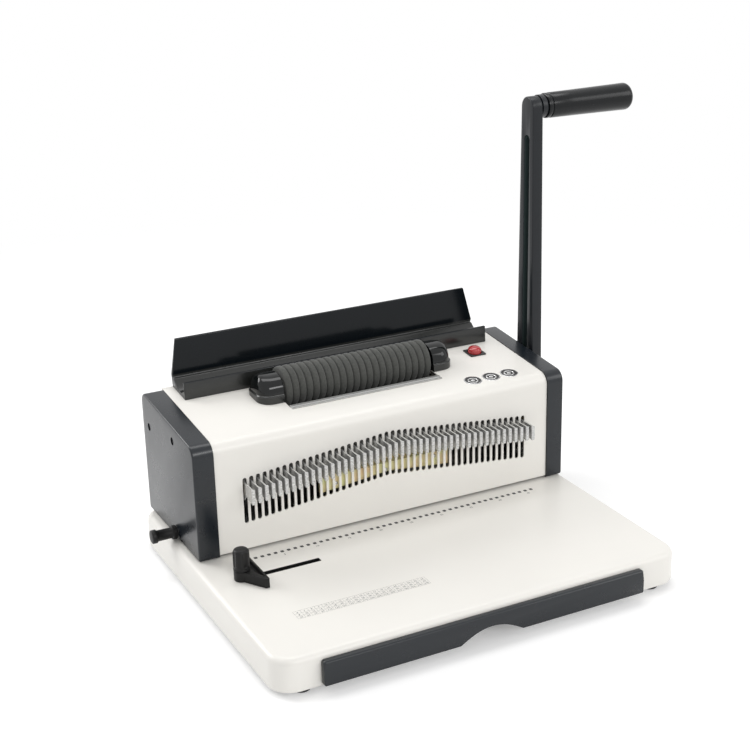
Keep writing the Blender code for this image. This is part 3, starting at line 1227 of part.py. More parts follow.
def build_cradle(looks):
    """Curved tray under the roller and the polished strip in front of it."""
    inner = ROLLER_RADIUS + CRADLE_GAP
    outer = inner + CRADLE_SHEET
    ceiling_front = sheet_top(OPENING_FRONT_Y - CRADLE_FLANGE) - SHEET_THICKNESS - SEAT_GAP
    rear_y = OPENING_REAR_Y + CRADLE_FLANGE
    drop = ROLLER_Z - ceiling_front
    ceiling_rear = sheet_top(ROLLER_Y) - SHEET_THICKNESS - SEAT_GAP
    drop_rear = ROLLER_Z - ceiling_rear

    def half_width(radius, fall):
        return math.sqrt(radius * radius - fall * fall)

    start = math.pi + math.asin(drop / inner)
    end = math.tau - math.asin(drop_rear / inner)
    bowl = arc((ROLLER_Y, ROLLER_Z), inner, start, end, 10)
    low_start = math.pi + math.asin((drop + CRADLE_SHEET) / outer)
    low_end = math.tau - math.asin((drop_rear + CRADLE_SHEET) / outer)
    under = arc((ROLLER_Y, ROLLER_Z), outer, low_start, low_end, 10)
    outline = [(OPENING_FRONT_Y - CRADLE_FLANGE, ceiling_front)] + bowl
    outline += [(rear_y, ceiling_rear), (rear_y, ceiling_rear - CRADLE_SHEET)] + under[::-1]
    outline += [(OPENING_FRONT_Y - CRADLE_FLANGE, ceiling_front - CRADLE_SHEET)]
    prism("roller_cradle", outline, "X", OPENING_LEFT_X, OPENING_RIGHT_X, looks["black"])

    edge = OPENING_FRONT_Y + SEAT_GAP
    front = OPENING_FRONT_Y - STRIP_WIDTH
    lift = SEAT_GAP
    top_front, top_edge = sheet_top(front) + lift, sheet_top(edge) + lift
    lip = edge + STRIP_THICKNESS
    outline = [(front, top_front), (edge, top_edge), (edge, top_edge - STRIP_LIP), (lip, top_edge - STRIP_LIP),
               (lip, top_edge + STRIP_THICKNESS), (front, top_front + STRIP_THICKNESS)]
    prism("guard_strip", outline, "X", OPENING_LEFT_X + SEAT_GAP, OPENING_RIGHT_X - SEAT_GAP, looks["polished"])


def build_trough(looks):
    """Extruded coil trough: front lip, V floor, ledge and a tall leaning plate."""
    def on_sheet(y):
        return sheet_top(y) + SEAT_GAP

    front = TROUGH_FRONT_Y
    lip_top = on_sheet(front) + TROUGH_LIP_HEIGHT
    lean = front + TROUGH_LEAN
    floor_z = on_sheet(TROUGH_FLOOR_Y + TROUGH_FLOOR_WIDTH) + TROUGH_FLOOR_THICKNESS
    floor_left = TROUGH_FLOOR_Y
    floor_right = TROUGH_FLOOR_Y + TROUGH_FLOOR_WIDTH
    ledge_y = TROUGH_STEP_Y + TROUGH_LEDGE
    ledge_z = TROUGH_STEP_Z + TROUGH_LEDGE_RISE
    top_y = ledge_y + TROUGH_PLATE_LEAN
    thick = TROUGH_PLATE_THICKNESS
    outline = [(front, on_sheet(front)), (ledge_y + thick, on_sheet(ledge_y + thick)),
               (ledge_y + thick, ledge_z), (top_y + thick, TROUGH_PLATE_TOP_Z), (top_y, TROUGH_PLATE_TOP_Z),
               (ledge_y, ledge_z), (ledge_y, TROUGH_STEP_Z), (TROUGH_STEP_Y, TROUGH_STEP_Z),
               (floor_right, floor_z), (floor_left, floor_z),
               (front + TROUGH_LIP_THICKNESS, floor_z + TROUGH_LIP_HEIGHT / 4),
               (lean + TROUGH_LIP_THICKNESS, lip_top), (lean, lip_top)]
    bm = bmesh.new()
    add_prism(bm, outline, "X", TROUGH_LEFT_X, TROUGH_RIGHT_X)
    centre_x = (TROUGH_LEFT_X + TROUGH_RIGHT_X) / 2
    for vert in bm.verts:
        if vert.co.z > (TROUGH_PLATE_TOP_Z + ledge_z) / 2:
            vert.co.x += TROUGH_END_SLANT if vert.co.x < centre_x else -TROUGH_END_SLANT
    make("coil_trough", bm, looks["trough"])


# Small controls

def tilted_frame(x, y):
    """Place and turn of a piece that stands square on the sloping top."""
    return Matrix.Translation((x, y, sheet_top(y))) @ Matrix.Rotation(HEAD_TILT, 4, "X")


def build_switch(looks):
    """Square bezel with its round push button, square to the sloping top."""
    frame = tilted_frame(SWITCH_X, SWITCH_Y)
    bm = bmesh.new()
    half, body = BEZEL_HALF, SWITCH_BODY_HALF - SEAT_GAP
    profile = rectangle(-half, -half, half, half)
    add_prism(bm, profile, "Z", SEAT_GAP, SEAT_GAP + BEZEL_LIP)
    bezel = make("switch_bezel", bm, looks["black"])
    bm = bmesh.new()
    add_prism(bm, rectangle(-body, -body, body, body), "Z", -SWITCH_BODY_DEPTH, SEAT_GAP + BEZEL_LIP / 2)
    box = helper("switch_body", bm)
    combine(bezel, box, "UNION")
    bm = bmesh.new()
    floor = -BUTTON_SKIRT - BUTTON_TRAVEL - SEAT_GAP
    add_prism(bm, circle((0.0, 0.0), BUTTON_RADIUS + SEAT_GAP, 20), "Z", floor, SEAT_GAP + BEZEL_LIP + OVERRUN)
    well = helper("switch_well", bm)
    combine(bezel, well, "DIFFERENCE")
    top = SEAT_GAP + BEZEL_LIP + BUTTON_STAND
    shoulder = top - BUTTON_DOME
    profile = [(-BUTTON_SKIRT, BUTTON_RADIUS), (shoulder, BUTTON_RADIUS)]
    for share in BUTTON_DOME_SHARES:
        angle = share * math.pi / 2
        profile.append((shoulder + BUTTON_DOME * math.sin(angle), BUTTON_RADIUS * math.cos(angle)))
    button = turned("switch_button", profile, "Z", (0.0, 0.0), 20, looks["red"])
    for piece in (bezel, box, well, button):
        piece.location = frame.translation
        piece.rotation_euler = frame.to_euler()


def build_side_guide(looks):
    """Guide block with its fence, the clamp knob and the nut under the base."""
    place = (GUIDE_X, GUIDE_Y)
    pivot = (GUIDE_X, GUIDE_Y, 0.0)
    inner = FENCE_X - FENCE_THICKNESS
    corners = [(inner, FENCE_FRONT_Y), (FENCE_X, FENCE_FRONT_Y), (FENCE_X, FENCE_REAR_Y), (inner, FENCE_REAR_Y)]
    outline = hull(circle(place, GUIDE_BOSS_RADIUS, 20) + corners)
    top = SEAT_GAP + GUIDE_HEIGHT
    block = prism("guide_block", outline, "Z", SEAT_GAP, top, looks["charcoal"], pivot)
    round_edges(block, EDGE_ROUND, 1, math.radians(60))
    ends = (FENCE_FRONT_Y + (GUIDE_Y - FENCE_FRONT_Y) / 3, FENCE_REAR_Y - (FENCE_REAR_Y - GUIDE_Y) / 3)
    boss_edge = GUIDE_X + GUIDE_BOSS_RADIUS + GUIDE_RIM / 2
    dish = [(boss_edge, GUIDE_Y - GUIDE_BOSS_RADIUS / 2), (inner - GUIDE_RIM / 2, ends[0]),
            (inner - GUIDE_RIM / 2, ends[1]), (boss_edge, GUIDE_Y + GUIDE_BOSS_RADIUS / 2)]
    cut_prism(block, "guide_dish", dish, "Z", top - GUIDE_DISH, top + OVERRUN)
    hole = circle(place, STUD_RADIUS + SEAT_GAP, 12)
    cut_prism(block, "guide_hole", hole, "Z", -OVERRUN, top + OVERRUN)

    nut_top = -BASE_WALL - SEAT_GAP
    bm = bmesh.new()
    box = rectangle(GUIDE_X - NUT_HALF, GUIDE_Y - NUT_HALF, GUIDE_X + NUT_HALF, GUIDE_Y + NUT_HALF)
    add_prism(bm, box, "Z", nut_top - NUT_THICKNESS, nut_top)
    nut = make("guide_nut", bm, looks["steel"], pivot)
    cut_prism(nut, "nut_hole", hole, "Z", nut_top - NUT_THICKNESS - OVERRUN, nut_top + OVERRUN)

    seat = top + SEAT_GAP
    crown = seat + KNOB_HEIGHT
    sides = KNOB_FLUTES * 3
    rings = [[(GUIDE_X + STUD_RADIUS * math.cos(math.tau * index / sides),
               GUIDE_Y + STUD_RADIUS * math.sin(math.tau * index / sides), level)
              for index in range(sides)] for level in (nut_top - NUT_THICKNESS, seat)]
    levels = [(seat, 1.0), (crown - KNOB_DOME, 1.0)]
    for share in KNOB_DOME_SHARES:
        angle = share * math.pi / 2
        levels.append((crown - KNOB_DOME * (1 - math.sin(angle)), math.cos(angle)))
    for level, share in levels:
        ring = []
        for index in range(sides):
            angle = math.tau * index / sides
            radius = KNOB_RADIUS - KNOB_FLUTE_DEPTH * (1 - math.cos(KNOB_FLUTES * angle)) / 2
            ring.append((GUIDE_X + radius * share * math.cos(angle),
                         GUIDE_Y + radius * share * math.sin(angle), level))
        rings.append(ring)
    bm = bmesh.new()
    add_loft(bm, rings)
    make("guide_knob", bm, looks["charcoal"], pivot)


def build_depth_adjuster(looks):
    """Margin knob with its toothed shaft, and the back stop that it moves."""
    centre = (DEPTH_Y, DEPTH_Z)
    pivot = (0.0, DEPTH_Y, DEPTH_Z)
    flange = DEPTH_KNOB_X - DEPTH_FLANGE
    waist = flange - DEPTH_WAIST
    bore = DEPTH_SHAFT_RADIUS + SEAT_GAP
    inside = flange - DEPTH_WAIST / 2
    profile = [(DEPTH_KNOB_X, bore), (DEPTH_KNOB_X, DEPTH_FLANGE_RADIUS - EDGE_ROUND),
               (DEPTH_KNOB_X - EDGE_ROUND, DEPTH_FLANGE_RADIUS),
               (flange + EDGE_ROUND, DEPTH_FLANGE_RADIUS), (flange, DEPTH_FLANGE_RADIUS - EDGE_ROUND),
               (flange, DEPTH_WAIST_RADIUS), (waist, DEPTH_WAIST_RADIUS),
               (waist, DEPTH_END_RADIUS - EDGE_ROUND),
               (waist - EDGE_ROUND, DEPTH_END_RADIUS), (DEPTH_END_X + EDGE_ROUND, DEPTH_END_RADIUS),
               (DEPTH_END_X, DEPTH_END_RADIUS - EDGE_ROUND), (DEPTH_END_X, EDGE_ROUND),
               (inside, EDGE_ROUND), (inside, bore)]
    turned("depth_knob", profile, "X", centre, 14, looks["gloss"], pivot, hollow=True)
    gear_end = DEPTH_GEAR_X + DEPTH_GEAR_WIDTH
    profile = [(inside + SEAT_GAP, DEPTH_SHAFT_RADIUS), (gear_end + DEPTH_SHAFT_TAIL, DEPTH_SHAFT_RADIUS)]
    shaft = turned("depth_shaft", profile, "X", centre, 12, looks["steel"], pivot)
    dedendum = DEPTH_MODULE * (RACK_ADDENDUM_SHARE + TOOTH_TIP_GAP_SHARE)
    tip = DEPTH_MODULE * GEAR_ADDENDUM_SHARE
    teeth = gear_outline(DEPTH_MODULE, DEPTH_TEETH, DEPTH_PRESSURE_ANGLE, tip, dedendum, -math.pi / 2, centre)
    bm = bmesh.new()
    add_prism(bm, teeth, "X", DEPTH_GEAR_X, gear_end)
    combine(shaft, helper("depth_gear", bm), "UNION")

    rear = STOP_FRONT_Y + STOP_DEPTH
    pitch_z = DEPTH_Z - DEPTH_PITCH_RADIUS
    stop = prism("back_stop", rectangle(STOP_LEFT_X, STOP_FRONT_Y, STOP_RIGHT_X, rear), "Z",
                 SEAT_GAP, STOP_TOP, looks["steel"], (DEPTH_GEAR_X, STOP_FRONT_Y, 0.0))
    addendum = DEPTH_MODULE * RACK_ADDENDUM_SHARE
    depth = DEPTH_MODULE * (1 + TOOTH_TIP_GAP_SHARE)
    low, high = rear - STOP_DEPTH / 2, DEPTH_Y + STOP_RACK_REACH
    start = DEPTH_Y - STOP_RACK_REACH / 2
    rack = rack_teeth(DEPTH_MODULE, DEPTH_PRESSURE_ANGLE, addendum, depth, start, high, DEPTH_Y)
    outline = [(low, pitch_z - depth)] + [(along, pitch_z + height) for along, height in rack]
    outline += [(high, SEAT_GAP), (low, SEAT_GAP)]
    bm = bmesh.new()
    add_prism(bm, outline, "X", DEPTH_GEAR_X, gear_end)
    combine(stop, helper("stop_rack", bm), "UNION")


def place_on_origin():
    """Move the machine so that its origin is at the bottom centre of its box."""
    for item in bpy.context.scene.objects:
        if item.parent is None:
            item.location -= ORIGIN


def main():
    clear_scene()
    looks = {
        "housing": finish("Warm white enamel", (0.86, 0.84, 0.79), 0.38),
        "slate": finish("Dark slate plastic", (0.050, 0.057, 0.064), 0.36),
        "charcoal": finish("Charcoal plastic", (0.030, 0.031, 0.032), 0.45),
        "gloss": finish("Gloss black plastic", (0.010, 0.011, 0.012), 0.12),
        "grip": finish("Black grip", (0.016, 0.017, 0.020), 0.25),
        "black": finish("Black parts", (0.020, 0.021, 0.022), 0.50),
        "trough": finish("Blue black enamel", (0.016, 0.020, 0.024), 0.42),
        "foam": finish("Warm grey foam", (0.105, 0.100, 0.088), 0.95),
        "rubber": finish("Black rubber", (0.015, 0.015, 0.015), 0.80),
        "steel": finish("Bright steel", (0.62, 0.62, 0.61), 0.30, 1.0),
        "polished": finish("Polished steel", (0.82, 0.82, 0.82), 0.10, 1.0),
        "bolt": finish("Blackened steel", (0.05, 0.05, 0.05), 0.35, 1.0),
        "zinc": finish("Yellow zinc", (0.55, 0.47, 0.24), 0.32, 1.0),
        "brass": finish("Brass", (0.66, 0.50, 0.24), 0.30, 1.0),
        "red": finish("Red plastic", (0.60, 0.020, 0.028), 0.22),
    }
    build_base(looks)
    build_drawer(looks)
    build_ends(looks)
    build_head_sheet(looks)
    build_inlet(looks)
    build_die_set(looks)
    build_punch(looks)
    build_springs(looks)
    build_lever(looks)
    build_roller(looks)
    build_trough(looks)
    build_switch(looks)
    build_side_guide(looks)
    build_depth_adjuster(looks)
    place_on_origin()


main()
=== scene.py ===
"""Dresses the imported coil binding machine: shapes, finishes, lights and camera."""
import math

import bmesh
import bpy
from mathutils import Matrix, Vector


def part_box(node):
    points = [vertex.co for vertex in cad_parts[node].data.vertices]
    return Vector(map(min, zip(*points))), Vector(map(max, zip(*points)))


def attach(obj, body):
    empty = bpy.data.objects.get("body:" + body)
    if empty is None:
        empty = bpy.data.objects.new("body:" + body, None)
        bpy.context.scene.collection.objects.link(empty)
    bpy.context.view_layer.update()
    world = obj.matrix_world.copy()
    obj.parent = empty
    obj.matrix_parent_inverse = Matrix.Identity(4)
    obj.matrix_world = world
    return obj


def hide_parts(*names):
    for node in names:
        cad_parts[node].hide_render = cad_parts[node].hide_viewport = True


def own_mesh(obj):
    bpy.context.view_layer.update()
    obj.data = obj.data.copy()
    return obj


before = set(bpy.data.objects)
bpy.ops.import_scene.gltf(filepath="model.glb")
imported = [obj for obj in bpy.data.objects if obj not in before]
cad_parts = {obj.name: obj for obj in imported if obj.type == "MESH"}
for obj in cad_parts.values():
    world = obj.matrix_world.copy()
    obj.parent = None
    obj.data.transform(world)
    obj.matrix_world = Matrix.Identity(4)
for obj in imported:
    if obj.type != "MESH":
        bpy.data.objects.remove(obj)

bl_info = {
    "name": "Coil Binding Machine",
    "version": (1, 0, 0),
    "blender": (4, 5, 0),
    "location": "View3D > Sidebar > Binder",
    "description": "Models the visible pieces of a desktop coil binding machine on its packed frame",
    "category": "Object",
}

MM = 0.001
TOUCH = 0.00002     # how near two points count as one level
CLEAR = 0.0003      # play round a part that passes through a wall
SLOT_FOOT = 27.1    # lower end of the outer punch slots, in millimetres above the base
FIRST_SLOT = 46.85  # middle of the first punch slot, in millimetres from the left cover
GUIDE_Y = -44.5     # line of the side guide's slot, in millimetres from the head's front
X_AXIS, Y_AXIS, Z_AXIS = (1, 0, 0), (0, 1, 0), (0, 0, 1)
# Where the left cover's outer face, the head's front and the base's top meet
HOME = Vector((*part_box("left_cover")[0].xy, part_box("base_shell")[1].z))


def at(x, y, z):
    """A place in millimetres from the left cover's outer face, the head's front and the base's top."""
    return HOME + Vector((x, y, z)) * MM


# Sizes and colours that a user would change

def length(name, text, value):
    """A length property."""
    return bpy.props.FloatProperty(name=name, description=text, default=value, unit="LENGTH", precision=5)


def colour(name, text, value):
    """A colour property."""
    return bpy.props.FloatVectorProperty(name=name, description=text, default=value, subtype="COLOR",
                                         size=3, min=0.0, max=1.0)


class BinderBase(bpy.types.PropertyGroup):
    """Sizes of the base, its drawer and its controls."""
    corner: length("Corner radius", "Radius of the base's corners seen from above", 0.020)
    top_round: length("Top rounding", "Radius of the base's upper edge", 0.006)
    wall: length("Wall", "Thickness of the base's moulded wall", 0.0025)
    slot_width: length("Guide slot width", "Width of the side guide's slot", 0.0064)
    slot_end: length("Guide slot end", "Right end of the guide's slot, from the left cover", 0.0953)
    arch_width: length("Arch width", "Width of the drawer's finger arch", 0.060)
    arch_height: length("Arch height", "Height of the finger arch", 0.0104)
    front_overhang: length("Drawer overhang", "How far the drawer's front reaches past its tray's right", 0.0072)
    front_chamfer: length("Drawer chamfer", "Chamfer along the drawer's front edges", 0.0014)


class BinderHead(bpy.types.PropertyGroup):
    """Sizes of the head."""
    front_height: length("Front height", "Height of the end covers at the front", 0.10775)
    front_round: length("Front rounding", "Radius of the covers' upper front corner", 0.011)
    rear_round: length("Rear rounding", "Radius of the covers' upper rear corner", 0.009)
    edge: length("Cover edge", "Rounding of the covers' outer edges", 0.0016)
    sheet: length("Sheet", "Thickness of the head's folded sheet", 0.0012)
    sheet_drop: length("Sheet drop", "How far the sheet lies below the covers", 0.0012)
    bend: length("Bend", "Radius of the sheet's front bend", 0.010)
    slot_count: bpy.props.IntProperty(name="Slots", description="Number of punch slots", default=46, min=2)
    slot_pitch: length("Slot pitch", "Distance between punch slots", 0.00635)
    slot_width: length("Slot width", "Width of a punch slot", 0.0040)
    slot_height: length("Slot height", "Height of a punch slot", 0.0437)
    row_rise: length("Row rise", "How far the middle slots stand above the end ones", 0.0146)


class BinderPunch(bpy.types.PropertyGroup):
    """Sizes of the pull tabs."""
    thickness: length("Tab thickness", "Thickness of a pull tab", 0.0015)
    flange: length("Flange width", "Width of the flange folded at a tab's front", 0.0032)
    height: length("Tab height", "Height of a pull tab's front", 0.0147)
    reach: length("Tab reach", "How far a pull tab's front lies before the sheet's back", 0.0178)
    top_gap: length("Tab gap", "Open slot above a pull tab", 0.0044)
    corner: length("Tab corner", "Rounding of a pull tab's front corners", 0.0010)


class BinderRoller(bpy.types.PropertyGroup):
    """Sizes of the coil roller."""
    ridges: bpy.props.IntProperty(name="Ridges", description="Number of foam ridges", default=22, min=2)
    groove: length("Groove depth", "Depth of the grooves between the ridges", 0.0020)
    cap_radius: length("Cap radius", "Height of the end caps' dome above the axis", 0.0155)
    cap_round: length("Cap rounding", "Rounding of the end caps' outer end", 0.0130)
    cap_half: length("Cap half width", "Half the width of the end caps' dome at its foot", 0.0182)


class BinderLever(bpy.types.PropertyGroup):
    """Sizes of the lever."""
    foot: length("Foot radius", "Radius of the arm's lower end", 0.0150)
    top: length("Top radius", "Radius of the arm's upper end", 0.0103)
    groove: length("Groove depth", "Depth of the channel in the arm", 0.0060)
    channel: length("Channel width", "Width of the channel in the arm", 0.0088)
    grip_root: length("Grip root", "Radius of the grip at the arm", 0.0119)
    grip_end: length("Grip end", "Radius of the grip at its free end", 0.01305)
    grip_round: length("Grip rounding", "Rounding of the grip's free end", 0.006)


class BinderColours(bpy.types.PropertyGroup):
    """Colours of the finishes."""
    enamel: colour("Enamel", "Housing and base", (0.84, 0.82, 0.775))
    slate: colour("Slate", "End covers and drawer front", (0.007, 0.010, 0.014))
    charcoal: colour("Charcoal", "Side guide and its knob", (0.010, 0.010, 0.010))
    gloss: colour("Gloss black", "Roller end caps", (0.003, 0.004, 0.004))
    grip: colour("Grip", "Turning grip", (0.006, 0.007, 0.008))
    arm: colour("Arm", "Lever arm", (0.010, 0.012, 0.015))
    black: colour("Black", "Plain black parts", (0.008, 0.008, 0.008))
    trough: colour("Trough", "Coil trough", (0.005, 0.007, 0.009))
    foam: colour("Foam", "Coil roller", (0.066, 0.068, 0.062))
    rubber: colour("Rubber", "Feet and belt", (0.014, 0.014, 0.014))
    steel: colour("Steel", "Bright steel", (0.66, 0.66, 0.65))
    zinc: colour("Yellow zinc", "Punch bar and base plate", (0.62, 0.50, 0.22))
    brass: colour("Brass", "Bushes", (0.66, 0.50, 0.24))
    red: colour("Red", "Push button", (0.44, 0.016, 0.020))
    ink: colour("Ink", "Printed marks", (0.035, 0.035, 0.037))
    floor: colour("Floor", "Floor under the machine", (0.90, 0.90, 0.90))


GROUPS = {"binder_base": BinderBase, "binder_head": BinderHead, "binder_punch": BinderPunch,
          "binder_roller": BinderRoller, "binder_lever": BinderLever, "binder_colours": BinderColours}


def sizes(group):
    """One group of the scene's sizes or colours."""
    return getattr(bpy.context.scene, f"binder_{group}")


# Modelling steps

def leave():
    """Leaves edit mode with nothing selected."""
    if bpy.context.object and bpy.context.object.mode != "OBJECT":
        bpy.ops.object.mode_set(mode="OBJECT")
    bpy.ops.object.select_all(action="DESELECT")


def take(piece):
    """Makes a piece the only selected one."""
    leave()
    piece.select_set(True)
    bpy.context.view_layer.objects.active = piece


def shape(piece):
    """Opens a piece in edit mode with everything selected."""
    take(piece)
    bpy.ops.object.mode_set(mode="EDIT")
    bpy.ops.mesh.select_all(action="SELECT")


def block(name, low, high):
    """A box between two corners."""
    leave()
    low, high = Vector(low), Vector(high)
    bpy.ops.mesh.primitive_cube_add(size=1.0, location=(low + high) / 2)
    piece = bpy.context.object
    piece.name = name
    piece.scale = high - low
    bpy.ops.object.transform_apply(location=True, rotation=True, scale=True)
    return piece


def draw(name, points, close=True):
    """A line drawn point by point, and filled where it closes."""
    leave()
    points = [Vector(point) for point in points]
    bpy.ops.mesh.primitive_plane_add(size=MM, location=points[0])
    piece = bpy.context.object
    piece.name = name
    bpy.ops.object.transform_apply(location=True, rotation=True, scale=True)
    bpy.ops.object.mode_set(mode="EDIT")
    bpy.ops.mesh.select_mode(type="VERT")
    bpy.ops.mesh.select_all(action="SELECT")
    bpy.ops.mesh.merge(type="CENTER")
    for start, end in zip(points, points[1:]):
        bpy.ops.mesh.extrude_vertices_move(TRANSFORM_OT_translate={"value": end - start})
    bpy.ops.mesh.select_all(action="SELECT")
    if close:
        bpy.ops.mesh.edge_face_add()
    return piece


def push(move):
    """Extrudes the selected faces."""
    bpy.ops.mesh.extrude_region_move(TRANSFORM_OT_translate={"value": Vector(move)})


def stretch(scale, centre):
    """Scales what is selected about a point."""
    bpy.ops.transform.resize(value=scale, center_override=centre)


def outward():
    """Turns all faces of the open mesh outwards."""
    bpy.ops.mesh.select_all(action="SELECT")
    bpy.ops.mesh.remove_doubles(threshold=TOUCH / 4)
    bpy.ops.mesh.normals_make_consistent(inside=False)


def slab(name, points, move):
    """A drawn outline pushed to a thickness."""
    piece = draw(name, points)
    push(move)
    outward()
    leave()
    return piece


def turned(name, profile, centre, axis, steps=48):
    """A profile of (along, radius) in millimetres, spun round an axis through a point."""
    centre, axis = Vector(centre), Vector(axis).normalized()
    side = axis.orthogonal().normalized()
    points = [centre + axis * reach * MM + side * radius * MM for reach, radius in profile]
    piece = draw(name, points, close=False)
    bpy.ops.mesh.spin(steps=steps, angle=math.tau, center=centre, axis=axis)
    outward()
    leave()
    return piece


def rod(name, start, end, radius, centre, axis, steps):
    """A plain round rod along an axis, all in millimetres but its centre."""
    return turned(name, [(start, 0), (start, radius), (end, radius), (end, 0)], centre, axis, steps)


def pick(piece, kind, test):
    """Selects the faces or edges of the open mesh that pass a test."""
    bpy.ops.mesh.select_mode(type=kind)
    bpy.ops.mesh.select_all(action="DESELECT")
    mesh = bmesh.from_edit_mesh(piece.data)
    for item in mesh.edges if kind == "EDGE" else mesh.faces:
        if test(item):
            item.select_set(True)
    bmesh.update_edit_mesh(piece.data)


def bevel(piece, test, offset, segments):
    """Bevels the edges of the open mesh that pass a test."""
    pick(piece, "EDGE", test)
    bpy.ops.mesh.bevel(offset=offset, segments=segments, affect="EDGES")


def cut_off(piece, test):
    """Deletes the faces of the open mesh that pass a test."""
    pick(piece, "FACE", test)
    bpy.ops.mesh.delete(type="FACE")


def level(item, axis, value):
    """Tells whether a face or edge lies at one level."""
    return all(abs(vert.co[axis] - value) < TOUCH for vert in item.verts)


def along(edge, axis):
    """Tells whether an edge runs along an axis."""
    line = (edge.verts[1].co - edge.verts[0].co).normalized()
    return abs(line[axis]) > 0.999


def modify(piece, kind, **values):
    """Adds a modifier and applies it."""
    take(piece)
    step = piece.modifiers.new(kind.title(), kind)
    for key, value in values.items():
        setattr(step, key, value)
    bpy.ops.object.modifier_apply(modifier=step.name)


def soften(piece, width, segments=3, angle=40):
    """Rounds a piece's sharp edges."""
    modify(piece, "BEVEL", width=width, segments=segments, limit_method="ANGLE", angle_limit=math.radians(angle))


def hollow(piece, wall):
    """Gives an open skin its wall, inwards."""
    modify(piece, "SOLIDIFY", thickness=wall, offset=-1.0, use_even_offset=True)


def carve(piece, *cutters):
    """Cuts other pieces out of this one."""
    for cutter in cutters:
        modify(piece, "BOOLEAN", operation="DIFFERENCE", solver="EXACT", object=cutter)
        bpy.data.objects.remove(cutter, do_unlink=True)


def copied(piece, name, move=(0.0, 0.0, 0.0), mirror=None):
    """A copy with its own mesh, moved or mirrored."""
    made = piece.copy()
    made.data = piece.data.copy()
    made.name = name
    bpy.context.collection.objects.link(made)
    take(made)
    if mirror is not None:
        made.matrix_world = Matrix.Translation((2 * mirror, 0, 0)) @ Matrix.Scale(-1, 4, X_AXIS)
    made.location = Vector(made.location) + Vector(move)
    bpy.ops.object.transform_apply(location=True, rotation=True, scale=True)
    if mirror is not None:
        shape(made)
        outward()
        leave()
    return made


def joined(pieces, name):
    """Several pieces as one."""
    leave()
    for piece in pieces:
        piece.select_set(True)
    bpy.context.view_layer.objects.active = pieces[0]
    if len(pieces) > 1:
        bpy.ops.object.join()
    pieces[0].name = name
    return pieces[0]


def paint(piece, test, *finishes):
    """Adds finishes to a piece, the last of them on the faces that pass a test of face and middle."""
    for key in finishes:
        piece.data.materials.append(finish(key))
    shape(piece)
    pick(piece, "FACE", lambda face: test(face, face.calc_center_median()))
    piece.active_material_index = len(piece.data.materials) - 1
    bpy.ops.object.material_slot_assign()
    leave()


def settle(piece, body, slot, key, *nodes, angle=35):
    """Smooths and finishes a piece and hangs it on its body in place of CAD nodes."""
    take(piece)
    bpy.ops.object.transform_apply(location=True, rotation=True, scale=True)
    bpy.ops.object.shade_smooth_by_angle(angle=math.radians(angle))
    if key:
        piece.data.materials.clear()
        piece.data.materials.append(finish(key))
    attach(piece, body)
    if nodes:
        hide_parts(*nodes)
    leave()


def bow(centre, radius, start, end, steps, place=lambda a, b: (a, b)):
    """Points of an arc in degrees, each put in space by a function."""
    points = []
    for index in range(steps + 1):
        angle = math.radians(start + (end - start) * index / steps)
        points.append(place(centre[0] + radius * math.cos(angle), centre[1] + radius * math.sin(angle)))
    return points


def softened(corners, radii, steps=6):
    """A flat outline with each corner rounded."""
    outline = []
    for index, point in enumerate(corners):
        corner = Vector(point)
        before = (Vector(corners[index - 1]) - corner).normalized()
        after = (Vector(corners[(index + 1) % len(corners)]) - corner).normalized()
        radius = radii[index]
        if radius <= 0.0:
            outline.append(tuple(corner))
            continue
        half = before.angle(after) / 2
        middle = corner + (before + after).normalized() * radius / math.sin(half)
        start = corner + before * radius / math.tan(half) - middle
        end = corner + after * radius / math.tan(half) - middle
        turn = start.angle_signed(end)
        for step in range(steps + 1):
            outline.append(tuple(middle + Matrix.Rotation(-turn * step / steps, 2) @ start))
    return outline


def oblong(left, low, right, high):
    """Four corners of an upright rectangle."""
    return [(left, low), (right, low), (right, high), (left, high)]


def capsule(width, start, end, steps):
    """A round-ended slot from start to end, as offsets in metres along its length."""
    half = width / 2
    return bow((start + half, 0.0), half, 90, 270, steps) + bow((end - half, 0.0), half, -90, 90, steps)


def centre_of(node):
    """Middle of a node's box."""
    low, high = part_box(node)
    return (low + high) / 2


def axle(node):
    """Left end of the middle line of a node that is turned about the X axis."""
    low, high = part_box(node)
    return Vector((low.x, (low.y + high.y) / 2, (low.z + high.z) / 2))


def slope():
    """Rise of the head's top for each metre towards the rear."""
    low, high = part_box("left_cover")
    return (high.z - HOME.z - sizes("head").front_height) / (high.y - low.y)


def sheet_top(y):
    """Height of the head's top sheet at a depth, both in millimetres."""
    head = sizes("head")
    return (head.front_height - head.sheet_drop) / MM + slope() * y


def slot_place(index):
    """Middle of a punch slot along the row, and how far it rises, in millimetres."""
    head = sizes("head")
    middle = (head.slot_count - 1) / 2
    rise = head.row_rise / MM * (1.0 - abs(index - middle) / middle)
    return FIRST_SLOT + head.slot_pitch / MM * index, rise


def repeated(piece, name, rising=True):
    """A piece made at the first punch slot, and its copies at all the others."""
    start = slot_place(0)[0]
    row = [piece]
    for index in range(1, sizes("head").slot_count):
        x, rise = slot_place(index)
        row.append(copied(piece, f"{name}_{index}", ((x - start) * MM, 0, rise * MM if rising else 0)))
    return row


# Finishes

def wire(tree, node, inputs):
    """Links a node's inputs to sockets and sets the others to constants."""
    for key, value in inputs.items():
        if isinstance(value, bpy.types.NodeSocket):
            tree.links.new(value, node.inputs[key])
        else:
            node.inputs[key].default_value = value


def add(tree, kind, inputs, **settings):
    """Adds a shader node."""
    node = tree.nodes.new(f"ShaderNode{kind}")
    for key, value in settings.items():
        setattr(node, key, value)
    wire(tree, node, inputs)
    return node


